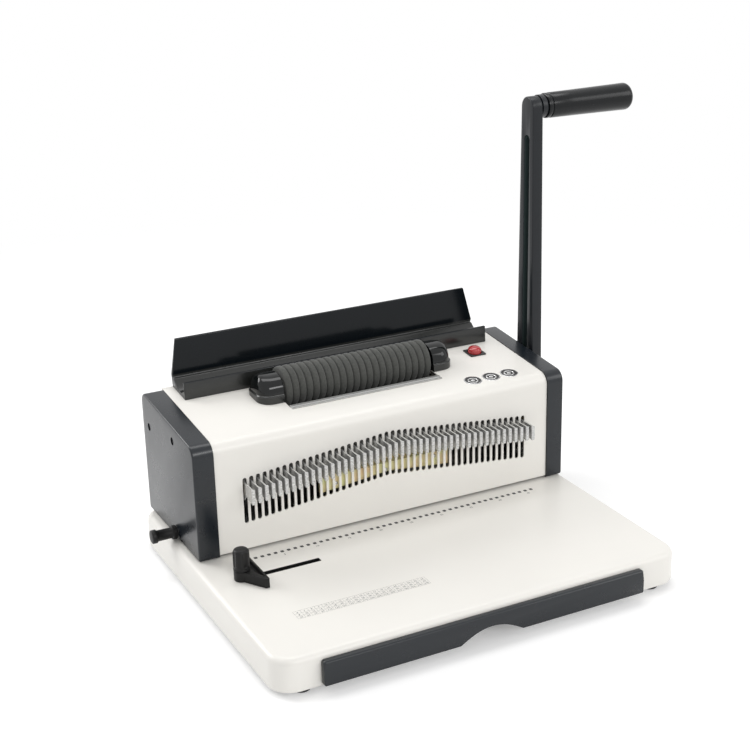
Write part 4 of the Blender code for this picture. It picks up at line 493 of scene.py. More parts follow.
def look(name, tint, roughness, metallic=0.0, coat=0.0, mottle=(40.0, 0.06), grain=None, drift=0.06,
         second=None, spread=(1.0, 1.0, 1.0), sheen=0.0, shine=0.5):
    """A procedural finish: mottled colour, uneven roughness and a fine grain (scale, depth, strength)."""
    made = bpy.data.materials.get(name)
    if made:
        return made
    made = bpy.data.materials.new(name)
    made.use_nodes = True
    tree = made.node_tree
    shader = tree.nodes["Principled BSDF"]
    place = add(tree, "TexCoord", {})
    mapping = add(tree, "Mapping", {"Scale": spread, "Vector": place.outputs["Object"]})

    def noise(scale, detail):
        inputs = {"Scale": scale, "Detail": detail, "Vector": mapping.outputs["Vector"]}
        return add(tree, "TexNoise", inputs).outputs["Fac"]

    patches = add(tree, "MapRange", {"Value": noise(mottle[0], 3.0), "From Min": 0.35, "From Max": 0.65})
    other = second or [channel * (1.0 - mottle[1]) for channel in tint]
    blend = add(tree, "Mix", {"Factor": patches.outputs["Result"], "A": (*other, 1.0), "B": (*tint, 1.0)},
                data_type="RGBA")
    uneven = add(tree, "MapRange", {"Value": noise(mottle[0] * 2.3, 5.0), "To Min": max(0.02, roughness - drift),
                                    "To Max": min(1.0, roughness + drift)})
    wire(tree, shader, {"Metallic": metallic, "Coat Weight": coat, "Coat Roughness": 0.12, "Sheen Weight": sheen,
                        "Specular IOR Level": shine, "Base Color": blend.outputs["Result"],
                        "Roughness": uneven.outputs["Result"]})
    if grain:
        scale, depth, strength = grain
        bump = add(tree, "Bump", {"Strength": strength, "Distance": depth, "Height": noise(scale, 2.0)})
        wire(tree, shader, {"Normal": bump.outputs["Normal"]})
    return made


FINE = (900.0, 0.00001, 0.4)    # grain of bare metal
PAINT = (1500.0, 0.00002, 0.4)  # grain of painted and blackened metal

# Name, roughness and other values of each finish. Its tint is the colour of the same key if none is given.
FINISHES = {
    "enamel": ("Warm white enamel", 0.38, dict(coat=0.12, mottle=(9.0, 0.025), grain=(700.0, 0.00002, 0.25))),
    "slate": ("Slate plastic", 0.28, dict(mottle=(30.0, 0.12), drift=0.03, grain=(3200.0, 0.00001, 0.2), shine=0.47)),
    "charcoal": ("Charcoal plastic", 0.42, dict(mottle=(90.0, 0.20), grain=(2600.0, 0.00005, 0.6), shine=0.24)),
    "gloss": ("Gloss black plastic", 0.08, dict(drift=0.02, shine=0.38)),
    "grip": ("Black grip", 0.22, dict(drift=0.05, grain=(260.0, 0.00003, 0.3), shine=0.28)),
    "arm": ("Arm enamel", 0.33, dict(mottle=(60.0, 0.10), grain=PAINT, shine=0.33)),
    # painted light: a lighter copy of the arm enamel for the channel's floor, standing in for light that the shaded
    # groove does not get
    "groove": ("Channel enamel", 0.45, dict(tint=(0.034, 0.054, 0.054), mottle=(60.0, 0.10), grain=PAINT)),
    "black": ("Black plastic", 0.42, dict(grain=(2400.0, 0.00003, 0.4))),
    "trough": ("Blue black enamel", 0.14, dict(mottle=(26.0, 0.15), drift=0.04, grain=(700.0, 0.00001, 0.3),
                                               shine=0.24)),
    # painted reflection: a lighter copy of the black enamel for the trough's lip and floor and the caps' skirts,
    # standing in for the white sheet they reflect
    "channel": ("Satin black enamel", 0.24, dict(tint=(0.016, 0.017, 0.016), mottle=(26.0, 0.15), drift=0.05,
                                                 grain=(700.0, 0.00001, 0.3), shine=0.55)),
    "foam": ("Warm grey foam", 0.92, dict(mottle=(500.0, 0.25), drift=0.05, grain=(2300.0, 0.00012, 0.8),
                                          sheen=0.15)),
    "rubber": ("Black rubber", 0.75, dict(grain=(1800.0, 0.00004, 0.5))),
    "steel": ("Bright steel", 0.24, dict(metallic=1.0, mottle=(140.0, 0.12), drift=0.08, grain=FINE,
                                         spread=(1.0, 1.0, 0.2))),
    "dark_steel": ("Blackened steel", 0.34, dict(tint=(0.050, 0.050, 0.052), metallic=1.0, grain=PAINT)),
    "polished": ("Polished steel", 0.26, dict(tint=(0.46, 0.46, 0.45), metallic=0.45, coat=0.2, mottle=(300.0, 0.06),
                                              drift=0.05, grain=(1400.0, 0.00001, 0.3), spread=(0.03, 1.0, 1.0))),
    "zinc": ("Yellow zinc", 0.30, dict(metallic=1.0, mottle=(60.0, 0.1), drift=0.08, second=(0.66, 0.62, 0.40),
                                       grain=FINE)),
    # painted light: a brighter, not metallic copy of the yellow zinc, so the bar reads as lit through the slots
    # inside the shaded head
    "bar_zinc": ("Yellow zinc bar", 0.40, dict(tint=(0.80, 0.80, 0.42), coat=0.3, mottle=(90.0, 0.1), drift=0.08,
                                               second=(0.86, 0.66, 0.40), grain=FINE)),
    "tab_side": ("Tab steel", 0.20, dict(tint=(0.66, 0.66, 0.65), metallic=0.55, mottle=(260.0, 0.15), drift=0.06,
                                         grain=(900.0, 0.00001, 0.2))),
    # painted shade: a dark copy of the tab steel for the faces turned towards the next tab, where shade falls between
    # the tabs
    "tab_back": ("Tab shade steel", 0.35, dict(tint=(0.16, 0.16, 0.16), metallic=0.5, mottle=(220.0, 0.2),
                                               drift=0.08)),
    # painted light: a brighter, less metallic copy of the tab steel for the flanges' fronts
    "tab_face": ("Tab front steel", 0.28, dict(tint=(0.62, 0.62, 0.61), metallic=0.35, mottle=(260.0, 0.14),
                                               drift=0.08)),
    "brass": ("Turned brass", 0.28, dict(metallic=1.0, mottle=(200.0, 0.1))),
    "red": ("Red plastic", 0.12, dict(coat=0.6, drift=0.04)),
    "ink": ("Printed ink", 0.45, dict(mottle=(400.0, 0.2))),
    "pale_ink": ("Fine print", 0.5, dict(tint=(0.11, 0.11, 0.11), mottle=(400.0, 0.3))),
    "badge": ("Disc metal", 0.26, dict(tint=(0.72, 0.72, 0.72), metallic=0.8, mottle=(600.0, 0.35), drift=0.10,
                                       grain=(1600.0, 0.00002, 0.5))),
}


def finish(key):
    """One of the finishes, made when it is first used."""
    name, roughness, values = FINISHES[key]
    values = dict(values)
    tint = values.pop("tint", None) or tuple(getattr(sizes("colours"), key))
    return look(name, tint, roughness, **values)


# Operators

class BuildBase(bpy.types.Operator):
    """Moulded base shell with its drawer mouth, guide slot and die window, and the rubber feet"""
    bl_idname = "binder.base"
    bl_label = "Base"

    def execute(self, context):
        base = sizes("base")
        low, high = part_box("base_shell")
        shell = block("base_moulding", low, high)
        shape(shell)
        bevel(shell, lambda edge: along(edge, 2), base.corner, 12)
        bevel(shell, lambda edge: level(edge, 2, high.z), base.top_round, 6)
        cut_off(shell, lambda face: level(face, 2, low.z))
        outward()
        leave()
        hollow(shell, base.wall)
        near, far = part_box("drawer_tray")
        mouth = block("mouth", (near.x - CLEAR, low.y - MM, low.z - MM),
                      (far.x + CLEAR, low.y + 5 * MM, far.z + CLEAR))
        near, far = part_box("lower_die")
        window = block("window", near - Vector((0.3, 0.3, 0.0)) * MM, far + Vector((0.3, 0.3, 3.0)) * MM)
        start, end, half = 15.8 * MM, base.slot_end, base.slot_width / 2

        def rim(inset, up):
            ends = oblong(start + inset, -half + inset, end - inset, half - inset)
            return [at(x / MM, GUIDE_Y + y / MM, up) for x, y in softened(ends, [MM - inset] * 4, 3)]

        carve(shell, mouth, window, slab("slot", rim(0.0, 2), (0, 0, -8 * MM)))
        settle(shell, "housing", "housing_enamel", "enamel", "base_shell")
        lining = slab("guide_slot_lining", rim(0.04 * MM, -0.04), (0, 0, -base.wall))
        carve(lining, slab("narrow", rim(0.35 * MM, 1.0), (0, 0, -6 * MM)))
        settle(lining, "housing", "black_plastic", "black")

        low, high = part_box("foot_1")
        tall = (high.z - low.z) / MM
        profile = [(0.6, 0.0), (0.6, 3.0), (0.0, 3.6), (0.0, 6.2), (0.3, 7.1), (1.0, 7.8), (1.8, 8.0),
                   (tall, 8.0), (tall, 0.0)]
        foot = turned("foot_pad_1", profile, ((low.x + high.x) / 2, (low.y + high.y) / 2, low.z), Z_AXIS, 40)
        feet = [foot]
        for number in (2, 3, 4):
            feet.append(copied(foot, f"foot_pad_{number}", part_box(f"foot_{number}")[0] - low))
        for number, pad in enumerate(feet, 1):
            settle(pad, "housing", "foot_rubber", "rubber", f"foot_{number}")
        return {"FINISHED"}


class BuildDrawer(bpy.types.Operator):
    """Chip drawer's front with its finger arch"""
    bl_idname = "binder.drawer"
    bl_label = "Drawer"

    def execute(self, context):
        base = sizes("base")
        low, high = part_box("drawer_front")
        right = high.x + base.front_overhang
        centre = (low.x + right) / 2
        half = base.arch_width / 2
        steps = 28
        arch = []
        for step in range(steps + 1):
            share = 2.0 * step / steps - 1.0
            arch.append((centre + half * share, low.z + base.arch_height * max(0.0, 1.0 - share * share) ** 1.1))
        corners = [(right, low.z), (right, high.z), (low.x, high.z), (low.x, low.z)]
        outline = softened(corners, [0.0016, 0.0026, 0.0026, 0.0016], 4) + arch
        front = slab("drawer_face", [(x, high.y, z) for x, z in outline], (0, low.y - high.y, 0))
        shape(front)
        bevel(front, lambda edge: level(edge, 1, low.y) and all(
            vert.co.z > low.z + 1.7 * MM and (vert.co.z > high.z - 4 * MM or abs(vert.co.x - centre) > 2 * half)
            for vert in edge.verts), base.front_chamfer, 1)
        leave()
        soften(front, 0.35 * MM, 2, 20)
        settle(front, "drawer", "slate_plastic", "slate", "drawer_front")
        return {"FINISHED"}


class BuildHeadCover(bpy.types.Operator):
    """Folded front and top sheet with its punch slots and the roller's opening"""
    bl_idname = "binder.head_cover"
    bl_label = "Head cover"

    def execute(self, context):
        head = sizes("head")
        low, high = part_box("head_cover")
        skin = block("head_sheet", low, high)
        shape(skin)
        drop = high.z - at(0, 0, sheet_top((low.y - HOME.y) / MM)).z
        pick(skin, "EDGE", lambda edge: level(edge, 2, high.z) and level(edge, 1, low.y))
        bpy.ops.transform.translate(value=(0, 0, -drop))
        bpy.ops.mesh.bevel(offset=head.bend, segments=10, affect="EDGES")
        cut_off(skin, lambda face: level(face, 1, high.y) or level(face, 2, low.z)
                or level(face, 0, low.x) or level(face, 0, high.x))
        leave()
        hollow(skin, head.sheet)

        x = slot_place(0)[0]
        points = [at(x + across / MM, -1, SLOT_FOOT + up / MM)
                  for up, across in capsule(head.slot_width, 0.0, head.slot_height, 8)]
        slots = joined(repeated(slab("slot_0", points, (0, 7 * MM, 0)), "slot"), "slots")

        def gap(name, left, front, right, rear, top=120):
            return block(name, (left, front, at(0, 0, 104).z), (right, rear, at(0, 0, top).z))

        near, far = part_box("roller_cradle")
        opening = gap("opening", near.x, at(0, 42.8, 0).y, far.x, at(0, 92.5, 0).y)
        belt = gap("belt_room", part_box("roller_pulley")[0].x - MM, at(0, 62, 0).y, near.x + MM, at(0, 99, 0).y)
        centre, wide, deep = centre_of("switch_bezel"), 7.9 * MM, 7.2 * MM
        window = gap("window", centre.x - wide, centre.y - deep, centre.x + wide, centre.y + deep, 122)
        carve(skin, slots, opening, belt, window)
        settle(skin, "housing", "housing_enamel", "enamel", "head_cover")
        return {"FINISHED"}


class BuildEndCovers(bpy.types.Operator):
    """Hollow end covers with soft edges, and their recessed screws"""
    bl_idname = "binder.end_covers"
    bl_label = "End covers"

    def execute(self, context):
        head = sizes("head")
        for name, side, screws in (("left_cover", 1, (1, 2)), ("right_cover", -1, (3, 4))):
            low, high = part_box(name)
            outer, inner = (low.x, high.x) if side > 0 else (high.x, low.x)
            corners = [(low.y, low.z), (high.y, low.z), (high.y, high.z), (low.y, HOME.z + head.front_height)]
            outline = softened(corners, [0.003, 0.003, head.rear_round, head.front_round], 8)
            cover = slab(f"{name}_shell", [(outer, y, z) for y, z in outline], (inner - outer, 0, 0))
            shape(cover)
            cut_off(cover, lambda face: level(face, 0, inner))
            leave()
            hollow(cover, 2.5 * MM)
            shape(cover)
            bevel(cover, lambda edge: level(edge, 0, outer), head.edge, 4)
            leave()
            cutters = []
            for number in screws:
                centre = centre_of(f"cover_screw_{number}")
                centre.x = outer - side * MM
                cutters.append(rod("hole", 0, 5, 3.7, centre, (side, 0, 0), 32))
            if side > 0:
                cutters.append(rod("hole", 0, 6, 2.8, at(-1, 56, 7.2), X_AXIS, 32))
                notch = softened(oblong(42.0, -2.0, 46.4, 3.7), [0.0, 0.0, 1.6, 1.6], 4)
                cutters.append(slab("notch", [at(-1, y, z) for y, z in notch], (6 * MM, 0, 0)))
            else:
                centre = axle("main_shaft")
                centre.x = outer - 4 * MM
                cutters.append(rod("hole", 0, 6, 7.3, centre, X_AXIS, 48))
            carve(cover, *cutters)
            settle(cover, "housing", "slate_plastic", "slate", name)

        low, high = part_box("cover_screw_1")
        face = axle("cover_screw_1")
        deep = (high.x - low.x) / MM
        profile = [(0.25, 0.0), (0.2, 1.4), (0.05, 2.6), (0.35, 3.25), (0.8, 3.4), (2.2, 3.4), (2.2, 1.5),
                   (deep, 1.5), (deep, 0.0)]
        screw = turned("end_screw_1", profile, face, X_AXIS, 32)
        carve(screw, *[block("cross", face + Vector((-1, -y, -z)) * MM, face + Vector((1.3, y, z)) * MM)
                       for y, z in ((0.35, 1.9), (1.9, 0.35))])
        screws = [screw, copied(screw, "end_screw_2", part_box("cover_screw_2")[0] - low)]
        for number in (3, 4):
            near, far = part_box(f"cover_screw_{number}")
            move = (0, near.y - low.y, near.z - low.z)
            screws.append(copied(screw, f"end_screw_{number}", move, mirror=(low.x + far.x) / 2))
        for number, piece in enumerate(screws, 1):
            settle(piece, "housing", "black_steel", "black", f"cover_screw_{number}")
        return {"FINISHED"}


class BuildRear(bpy.types.Operator):
    """Rear panel with its vents, and the mains inlet"""
    bl_idname = "binder.rear"
    bl_label = "Rear panel and inlet"

    def execute(self, context):
        low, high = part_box("rear_panel")
        panel = block("rear_sheet", low, high)
        points = [at(239.5 + across / MM, 134, up / MM) for up, across in capsule(0.003, 0.060, 0.086, 6)]
        vent = slab("vent_0", points, (0, -10 * MM, 0))
        vents = [vent] + [copied(vent, f"vent_{index}", (9 * index * MM, 0, 0)) for index in range(1, 7)]
        near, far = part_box("power_inlet")
        centre = Vector(((near.x + far.x) / 2, far.y, (near.z + far.z) / 2))
        window = block("window", centre + Vector((-13.7, -10, -10.7)) * MM, centre + Vector((13.7, 3, 10.7)) * MM)
        carve(panel, joined(vents, "vents"), window)
        settle(panel, "housing", "housing_enamel", "enamel", "rear_panel")
        inset = 9 * MM
        head = [(0, 0), (0, 3.0), (0.6, 2.9), (1.3, 2.2), (1.6, 1.2), (1.6, 0.9), (0.9, 0.8), (0.9, 0)]
        screw = turned("screw", head, (low.x + inset, high.y, low.z + inset), Y_AXIS, 24)
        across, up = high.x - low.x - 2 * inset, high.z - low.z - 2 * inset
        screws = [screw] + [copied(screw, "screw", move) for move in
                            ((across, 0, 0), (0, 0, up), (across, 0, up), (across / 2, 0, up))]
        settle(joined(screws, "rear_screws"), "housing", "black_steel", "dark_steel")

        rim = softened(oblong(near.x, near.z, far.x, far.z), [0.0022] * 4, 5)
        flange = slab("inlet_flange", [(x, far.y - 2.2 * MM, z) for x, z in rim], (0, 2.2 * MM, 0))
        soften(flange, 0.5 * MM, 2)
        wide, tall = 13.4 * MM, 10.4 * MM
        body = block("inlet_body", (centre.x - wide, near.y, centre.z - tall),
                     (centre.x + wide, far.y - MM, centre.z + tall))
        wide, tall = 11.3 * MM, 8.3 * MM
        mouth = softened(oblong(centre.x - wide, centre.z - tall, centre.x + wide, centre.z + tall),
                         [0.0008, 0.0008, 0.0045, 0.0045], 1)
        socket = slab("socket", [(x, far.y + MM, z) for x, z in mouth], (0, -15 * MM, 0))
        carve(flange, copied(socket, "socket_mouth"))
        carve(body, socket)
        settle(joined([flange, body], "mains_inlet"), "housing", "black_plastic", "black", "power_inlet")
        blades = []
        for x, z in ((-7, 0), (0, 2.4), (7, 0)):
            foot = centre + Vector((x, -14.0, z)) * MM
            blade = block("blade", foot + Vector((-1, 0, -2)) * MM, foot + Vector((1, 11, 2)) * MM)
            soften(blade, 0.35 * MM, 2)
            blades.append(blade)
        settle(joined(blades, "inlet_blades"), "housing", "bright_steel", "steel")
        return {"FINISHED"}


class BuildTrough(bpy.types.Operator):
    """Coil trough: front lip, floor, ledge and a tall leaning plate"""
    bl_idname = "binder.trough"
    bl_label = "Coil trough"

    def execute(self, context):
        low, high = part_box("coil_trough")
        front = (low.y - HOME.y) / MM

        def on_sheet(y):
            return sheet_top(y) + 0.3

        floor = front + 10.5
        step = front + 27.0
        ledge = step + 3.2
        step_z = on_sheet(front) + 12.4
        top_z = (high.z - HOME.z) / MM
        lip = on_sheet(front) + 16.5
        floor_z = on_sheet(floor + 6) + 2.6
        outline = [(front, on_sheet(front)), (ledge + 3, on_sheet(ledge + 3)), (ledge + 3, step_z + 3.2),
                   (ledge + 6.8, top_z), (ledge + 3.8, top_z), (ledge, step_z + 3.0), (ledge - 0.3, step_z + 0.4),
                   (step, step_z), (step - 0.6, step_z - 0.9), (floor + 6, floor_z), (floor, floor_z),
                   (front + 2.6, floor_z + 4), (front + 3.4, lip), (front + 0.8, lip)]
        trough = slab("trough_section", [at((low.x - HOME.x) / MM, y, z) for y, z in outline],
                      (high.x - low.x, 0, 0))
        shape(trough)
        for side, end in ((-1, low.x), (1, high.x)):
            pick(trough, "EDGE", lambda edge: all(vert.co.z > high.z - 5 * MM and abs(vert.co.x - end) < TOUCH
                                                  for vert in edge.verts))
            bpy.ops.transform.translate(value=(-side * 6 * MM, 0, 0))
        leave()
        soften(trough, 0.7 * MM, 3, 30)
        # The lip and floor below this height keep the lighter black as painted reflection of the white sheet; the
        # leaning plate above gets the blue black
        above = at(0, 0, step_z + 2.2).z
        paint(trough, lambda face, spot: spot.z > above, "channel", "trough")
        settle(trough, "housing", "trough_enamel", None, "coil_trough")
        return {"FINISHED"}


class BuildRoller(bpy.types.Operator):
    """Ridged foam roller, its end caps and the guard strip"""
    bl_idname = "binder.roller"
    bl_label = "Coil roller"

    def execute(self, context):
        roller = sizes("roller")
        low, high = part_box("roller_foam")
        centre = axle("roller_foam")
        radius = max(high.y - low.y, high.z - low.z) / 2 / MM
        pitch = (high.x - low.x) / MM / roller.ridges
        deep = roller.groove / MM
        crown = ((0.04, 1.0), (0.08, 0.52), (0.16, 0.24), (0.30, 0.06), (0.5, 0.0), (0.70, 0.06), (0.84, 0.24),
                 (0.92, 0.52), (0.96, 1.0))
        profile = [(0.0, 12.3)]
        for index in range(roller.ridges):
            for share, sink in crown:
                profile.append((pitch * (index + share), radius - deep * sink))
        profile += [(pitch * roller.ridges, 12.3), (0.0, 12.3)]
        sleeve = turned("foam_sleeve", profile, centre, X_AXIS, 72)
        settle(sleeve, "roller", "roller_foam_grey", "foam", "roller_foam", angle=50)
        self.cap("roller_cap_left", -1, centre)
        self.cap("roller_cap_right", 1, centre)
        self.strip()
        return {"FINISHED"}

    def cap(self, name, side, centre):
        """One end cap: a low skirt that follows the sheet, and a dome that narrows upwards."""
        roller = sizes("roller")
        low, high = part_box(name)
        inner, outer = (high.x, low.x) if side < 0 else (low.x, high.x)
        long, half, wall = abs(outer - inner), (high.y - low.y) / 2, roller.cap_half
        wide = roller.cap_round
        turn = inner + side * (long - wide)
        plan = [(inner, -half)]
        for start, middle_y in ((-90, -half + wide), (0, half - wide)):
            plan += bow((0, 0), wide, start, start + 90, 8, lambda a, b: (turn + side * a, middle_y + b))
        plan.append((inner, half))
        dome = draw(f"{name}_dome", [
            (x, centre.y + y, at(0, 0, sheet_top((centre.y + y - HOME.y) / MM) + 0.3).z) for x, y in plan])
        anchor = Vector((inner, centre.y, 0))
        push((0, 0, 3 * MM))
        stretch((1, 1, 0), (inner, centre.y, centre.z - 1.2 * MM))
        reach_now, half_now = long, half
        for rise, less in ((0.5 * MM, 0.3 * MM), (0.4 * MM, 0.8 * MM), (0.2 * MM, 1.1 * MM), (0.1 * MM, half - wall)):
            push((0, 0, rise))
            stretch(((long - less) / reach_now, (half - less) / half_now, 1), anchor)
            reach_now, half_now = long - less, half - less
        steps, reached, height = 14, reach_now, 0.0
        for index in range(1, steps + 1):
            angle = math.radians(88.5) * index / steps
            now_half = wall * math.cos(angle) ** 0.85
            now_reach = reached - 8.5 * MM * (1 - math.cos(angle) ** 0.8)
            rise = roller.cap_radius * math.sin(angle) ** 0.92
            push((0, 0, rise - height))
            stretch((now_reach / reach_now, now_half / half_now, 1), anchor)
            reach_now, half_now, height = now_reach, now_half, rise
        outward()
        leave()
        carve(dome, rod("bore", -2, 10, 4.3, (inner, centre.y, centre.z), (side, 0, 0), 32))
        if side < 0:
            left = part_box("roller_pulley")[0].x - 1.2 * MM
            room = rod("room", 0, 8.4, 11.2, (left, centre.y, centre.z), X_AXIS, 48)
            below = block("room_below", (left, centre.y - 8 * MM, centre.z - 20 * MM),
                          (left + 8.4 * MM, centre.y + 14 * MM, centre.z))
            carve(dome, room, below)
        # The skirt below the axis gets the lighter black as painted reflection; the dome stays gloss black
        paint(dome, lambda face, spot: spot.z < centre.z + 0.05 * MM, "gloss", "channel")
        settle(dome, "housing", "gloss_black", None, name, angle=30)

    def strip(self):
        """Polished guard strip with a fine line along it."""
        low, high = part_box("guard_strip")
        front, edge = (low.y - HOME.y) / MM + 3.8, 43.1
        lift, thick, lip = 0.3, 1.2, 2.4
        outline = [(front, lift), (edge, lift), (edge, lift - lip), (edge + thick, lift - lip),
                   (edge + thick, lift + thick)]
        outline += [(front + 2.5 + y, lift + thick + z) for y, z in ((0.9, 0), (0.3, -0.7), (-0.3, -0.7), (-0.9, 0))]
        outline.append((front, lift + thick))
        left = (low.x - HOME.x) / MM
        plate = slab("guard_plate", [at(left, y, sheet_top(min(y, edge)) + z) for y, z in outline],
                     (high.x - low.x, 0, 0))
        soften(plate, 0.12 * MM, 1, 60)
        settle(plate, "housing", "strip_chrome", "polished", "guard_strip")


class BuildPunch(bpy.types.Operator):
    """Punch bar with its pins, and the row of pull tabs"""
    bl_idname = "binder.punch"
    bl_label = "Punch and pull tabs"

    def execute(self, context):
        low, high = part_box("punch_beam")
        foot = at(0, 0, 46.5).z
        bar = block("punch_bar", (low.x, low.y, foot), (high.x, high.y, high.z))
        shape(bar)
        bevel(bar, lambda edge: level(edge, 1, low.y) and level(edge, 2, foot), 3.5 * MM, 5)
        leave()
        apron_y, apron_foot, apron_top, overhang = 6, 29.0, 52.5, 3
        places = [slot_place(index) for index in range(12, 33)]
        left, right = places[0][0] - overhang, places[-1][0] + overhang
        rim = [(left, places[0][1])] + places + [(right, places[-1][1])]
        outline = [at(x, apron_y, apron_foot + rise) for x, rise in rim]
        outline += [at(right, apron_y, apron_top), at(left, apron_y, apron_top)]
        apron = slab("apron", outline, (0, 2.2 * MM, 0))
        shelf = block("shelf", at(left, 7, apron_top - 2.2), at(right, 15.5, apron_top))
        bar = joined([bar, apron, shelf], "punch_bar")
        soften(bar, 0.6 * MM, 2, 60)
        # The bar's finish is yellow zinc made brighter: painted light inside the shaded head
        settle(bar, "punch", "yellow_zinc", "bar_zinc", "punch_beam")
        profile = [(0, 0), (0, 1.9), (1.2, 1.9), (1.6, 1.4), (1.6, 0.7), (0.9, 0.6), (0.9, 0)]
        screws = [turned("screw", profile, at(slot_place(index)[0], apron_y, up), (0, -1, 0), 20)
                  for index, up in ((14, 44.0), (22, 46.0), (30, 48.5))]
        settle(joined(screws, "bar_screws"), "punch", "bright_steel", "steel")
        plugs = []
        for index, up in ((17, 56.0), (27, 60.0), (36, 58.5)):
            seat = at(slot_place(index)[0], 0, up)
            plugs.append(rod("plug", 0, 0.15, 1.8, (seat.x, low.y, seat.z), (0, -1, 0), 20))
        settle(joined(plugs, "bar_plugs"), "punch", "black_steel", "black")
        x = slot_place(0)[0]
        first = turned("pin_0", [(0, 0), (0, 1.75), (0.25, 2.0), (51, 2.0), (51, 0)], at(x, 20, 3.2), Z_AXIS, 16)
        pins = joined(repeated(first, "pin"), "punch_pins")
        shape(pins)
        bpy.ops.mesh.bisect(plane_co=(0, 0, at(0, 0, 54.2).z), plane_no=Z_AXIS, clear_outer=True, use_fill=True)
        leave()
        settle(pins, "punch", "black_steel", "dark_steel")
        self.tabs()
        return {"FINISHED"}

    def tabs(self):
        """Pull tabs in two rows, each a plate with a flange folded at its front, and the rail behind each row."""
        punch, head = sizes("punch"), sizes("head")
        x = slot_place(0)[0]
        upper = SLOT_FOOT + (head.slot_height - punch.top_gap) / MM
        tip = 1.6 - punch.reach / MM
        tall, corner, wide = punch.height / MM, punch.corner / MM, punch.flange / MM
        side = [(tip + 1.1, upper + 0.2), (tip + 1.1, upper - tall + 0.3), (tip + 3.5, upper - tall + 0.6),
                (-0.6, upper - 12.0), (1.6, upper - 14.9), (3.8, upper - 17.9), (14.7, upper - 17.9), (14.7, upper),
                (-1.0, upper)]
        left = x - punch.thickness / 2 / MM
        plate = slab("tab_0", [at(left, y, z) for y, z in side], (punch.thickness, 0, 0))
        soften(plate, 0.25 * MM, 1, 60)
        plate.data.materials.append(finish("tab_side"))
        face = softened([(left, upper + 0.4), (left, upper - tall), (left + wide, upper - tall),
                         (left + wide, upper - 0.5)], [0.3, 0.4, corner, corner], 3)
        flange = slab("flange", [at(across, tip, z) for across, z in face], (0, 1.2 * MM, 0))
        soften(flange, 0.25 * MM, 1, 60)
        # The flange's front gets the brighter tab steel: painted light
        flange.data.materials.append(finish("tab_face"))
        tab = joined([plate, flange], "tab_0")
        right = at(x, 0, 0).x + MM
        # Faces turned to the next tab get the dark steel: painted shade between the tabs
        paint(tab, lambda face, spot: face.normal.x > 0.8 and spot.x < right, "tab_back")
        tabs = repeated(tab, "tab")
        half, last = head.slot_count // 2, head.slot_count - 1
        for name, group in (("pull_tabs_left", tabs[:half]), ("pull_tabs_right", tabs[half:])):
            settle(joined(group, f"{name}_row"), "punch", "bright_steel", None)
        for name, ends in (("pull_tabs_left", (0, half - 1)), ("pull_tabs_right", (half, last))):
            (start, start_rise), (end, end_rise) = (slot_place(index) for index in ends)
            points = [at(start - 2, 12.6, upper - 17.4 + start_rise), at(end + 2, 12.6, upper - 17.4 + end_rise),
                      at(end + 2, 12.6, upper - 0.6 + end_rise), at(start - 2, 12.6, upper - 0.6 + start_rise)]
            rail = slab(f"{name}_rail", points, (0, 2.0 * MM, 0))
            settle(rail, "punch", "bright_steel", "steel", name)


class BuildSprings(bpy.types.Operator):
    """Coiled return springs"""
    bl_idname = "binder.springs"
    bl_label = "Return springs"

    def execute(self, context):
        gauge, turns, steps, stroke = 0.8 * MM, 6, 20, 19.7 * MM
        for name in ("return_spring_left", "return_spring_right"):
            low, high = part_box(name)
            tall = high.z - low.z
            radius = (high.x - low.x) / 2 - gauge
            rim = bow((radius, gauge), gauge, 0, 360, 8, lambda across, up: (across, 0, up))
            spring = draw(f"{name}_coil", rim, close=False)
            bpy.ops.mesh.remove_doubles(threshold=TOUCH)
            leave()
            modify(spring, "SCREW", axis="Z", steps=steps, iterations=turns, screw_offset=(tall - 2 * gauge) / turns)
            shape(spring)
            bpy.ops.mesh.fill_holes(sides=0)
            outward()
            leave()
            foot = Vector(((low.x + high.x) / 2, (low.y + high.y) / 2, low.z))
            spring.location = foot
            settle(spring, "housing", "bright_steel", "steel", name)
            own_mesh(spring)
        return {"FINISHED"}


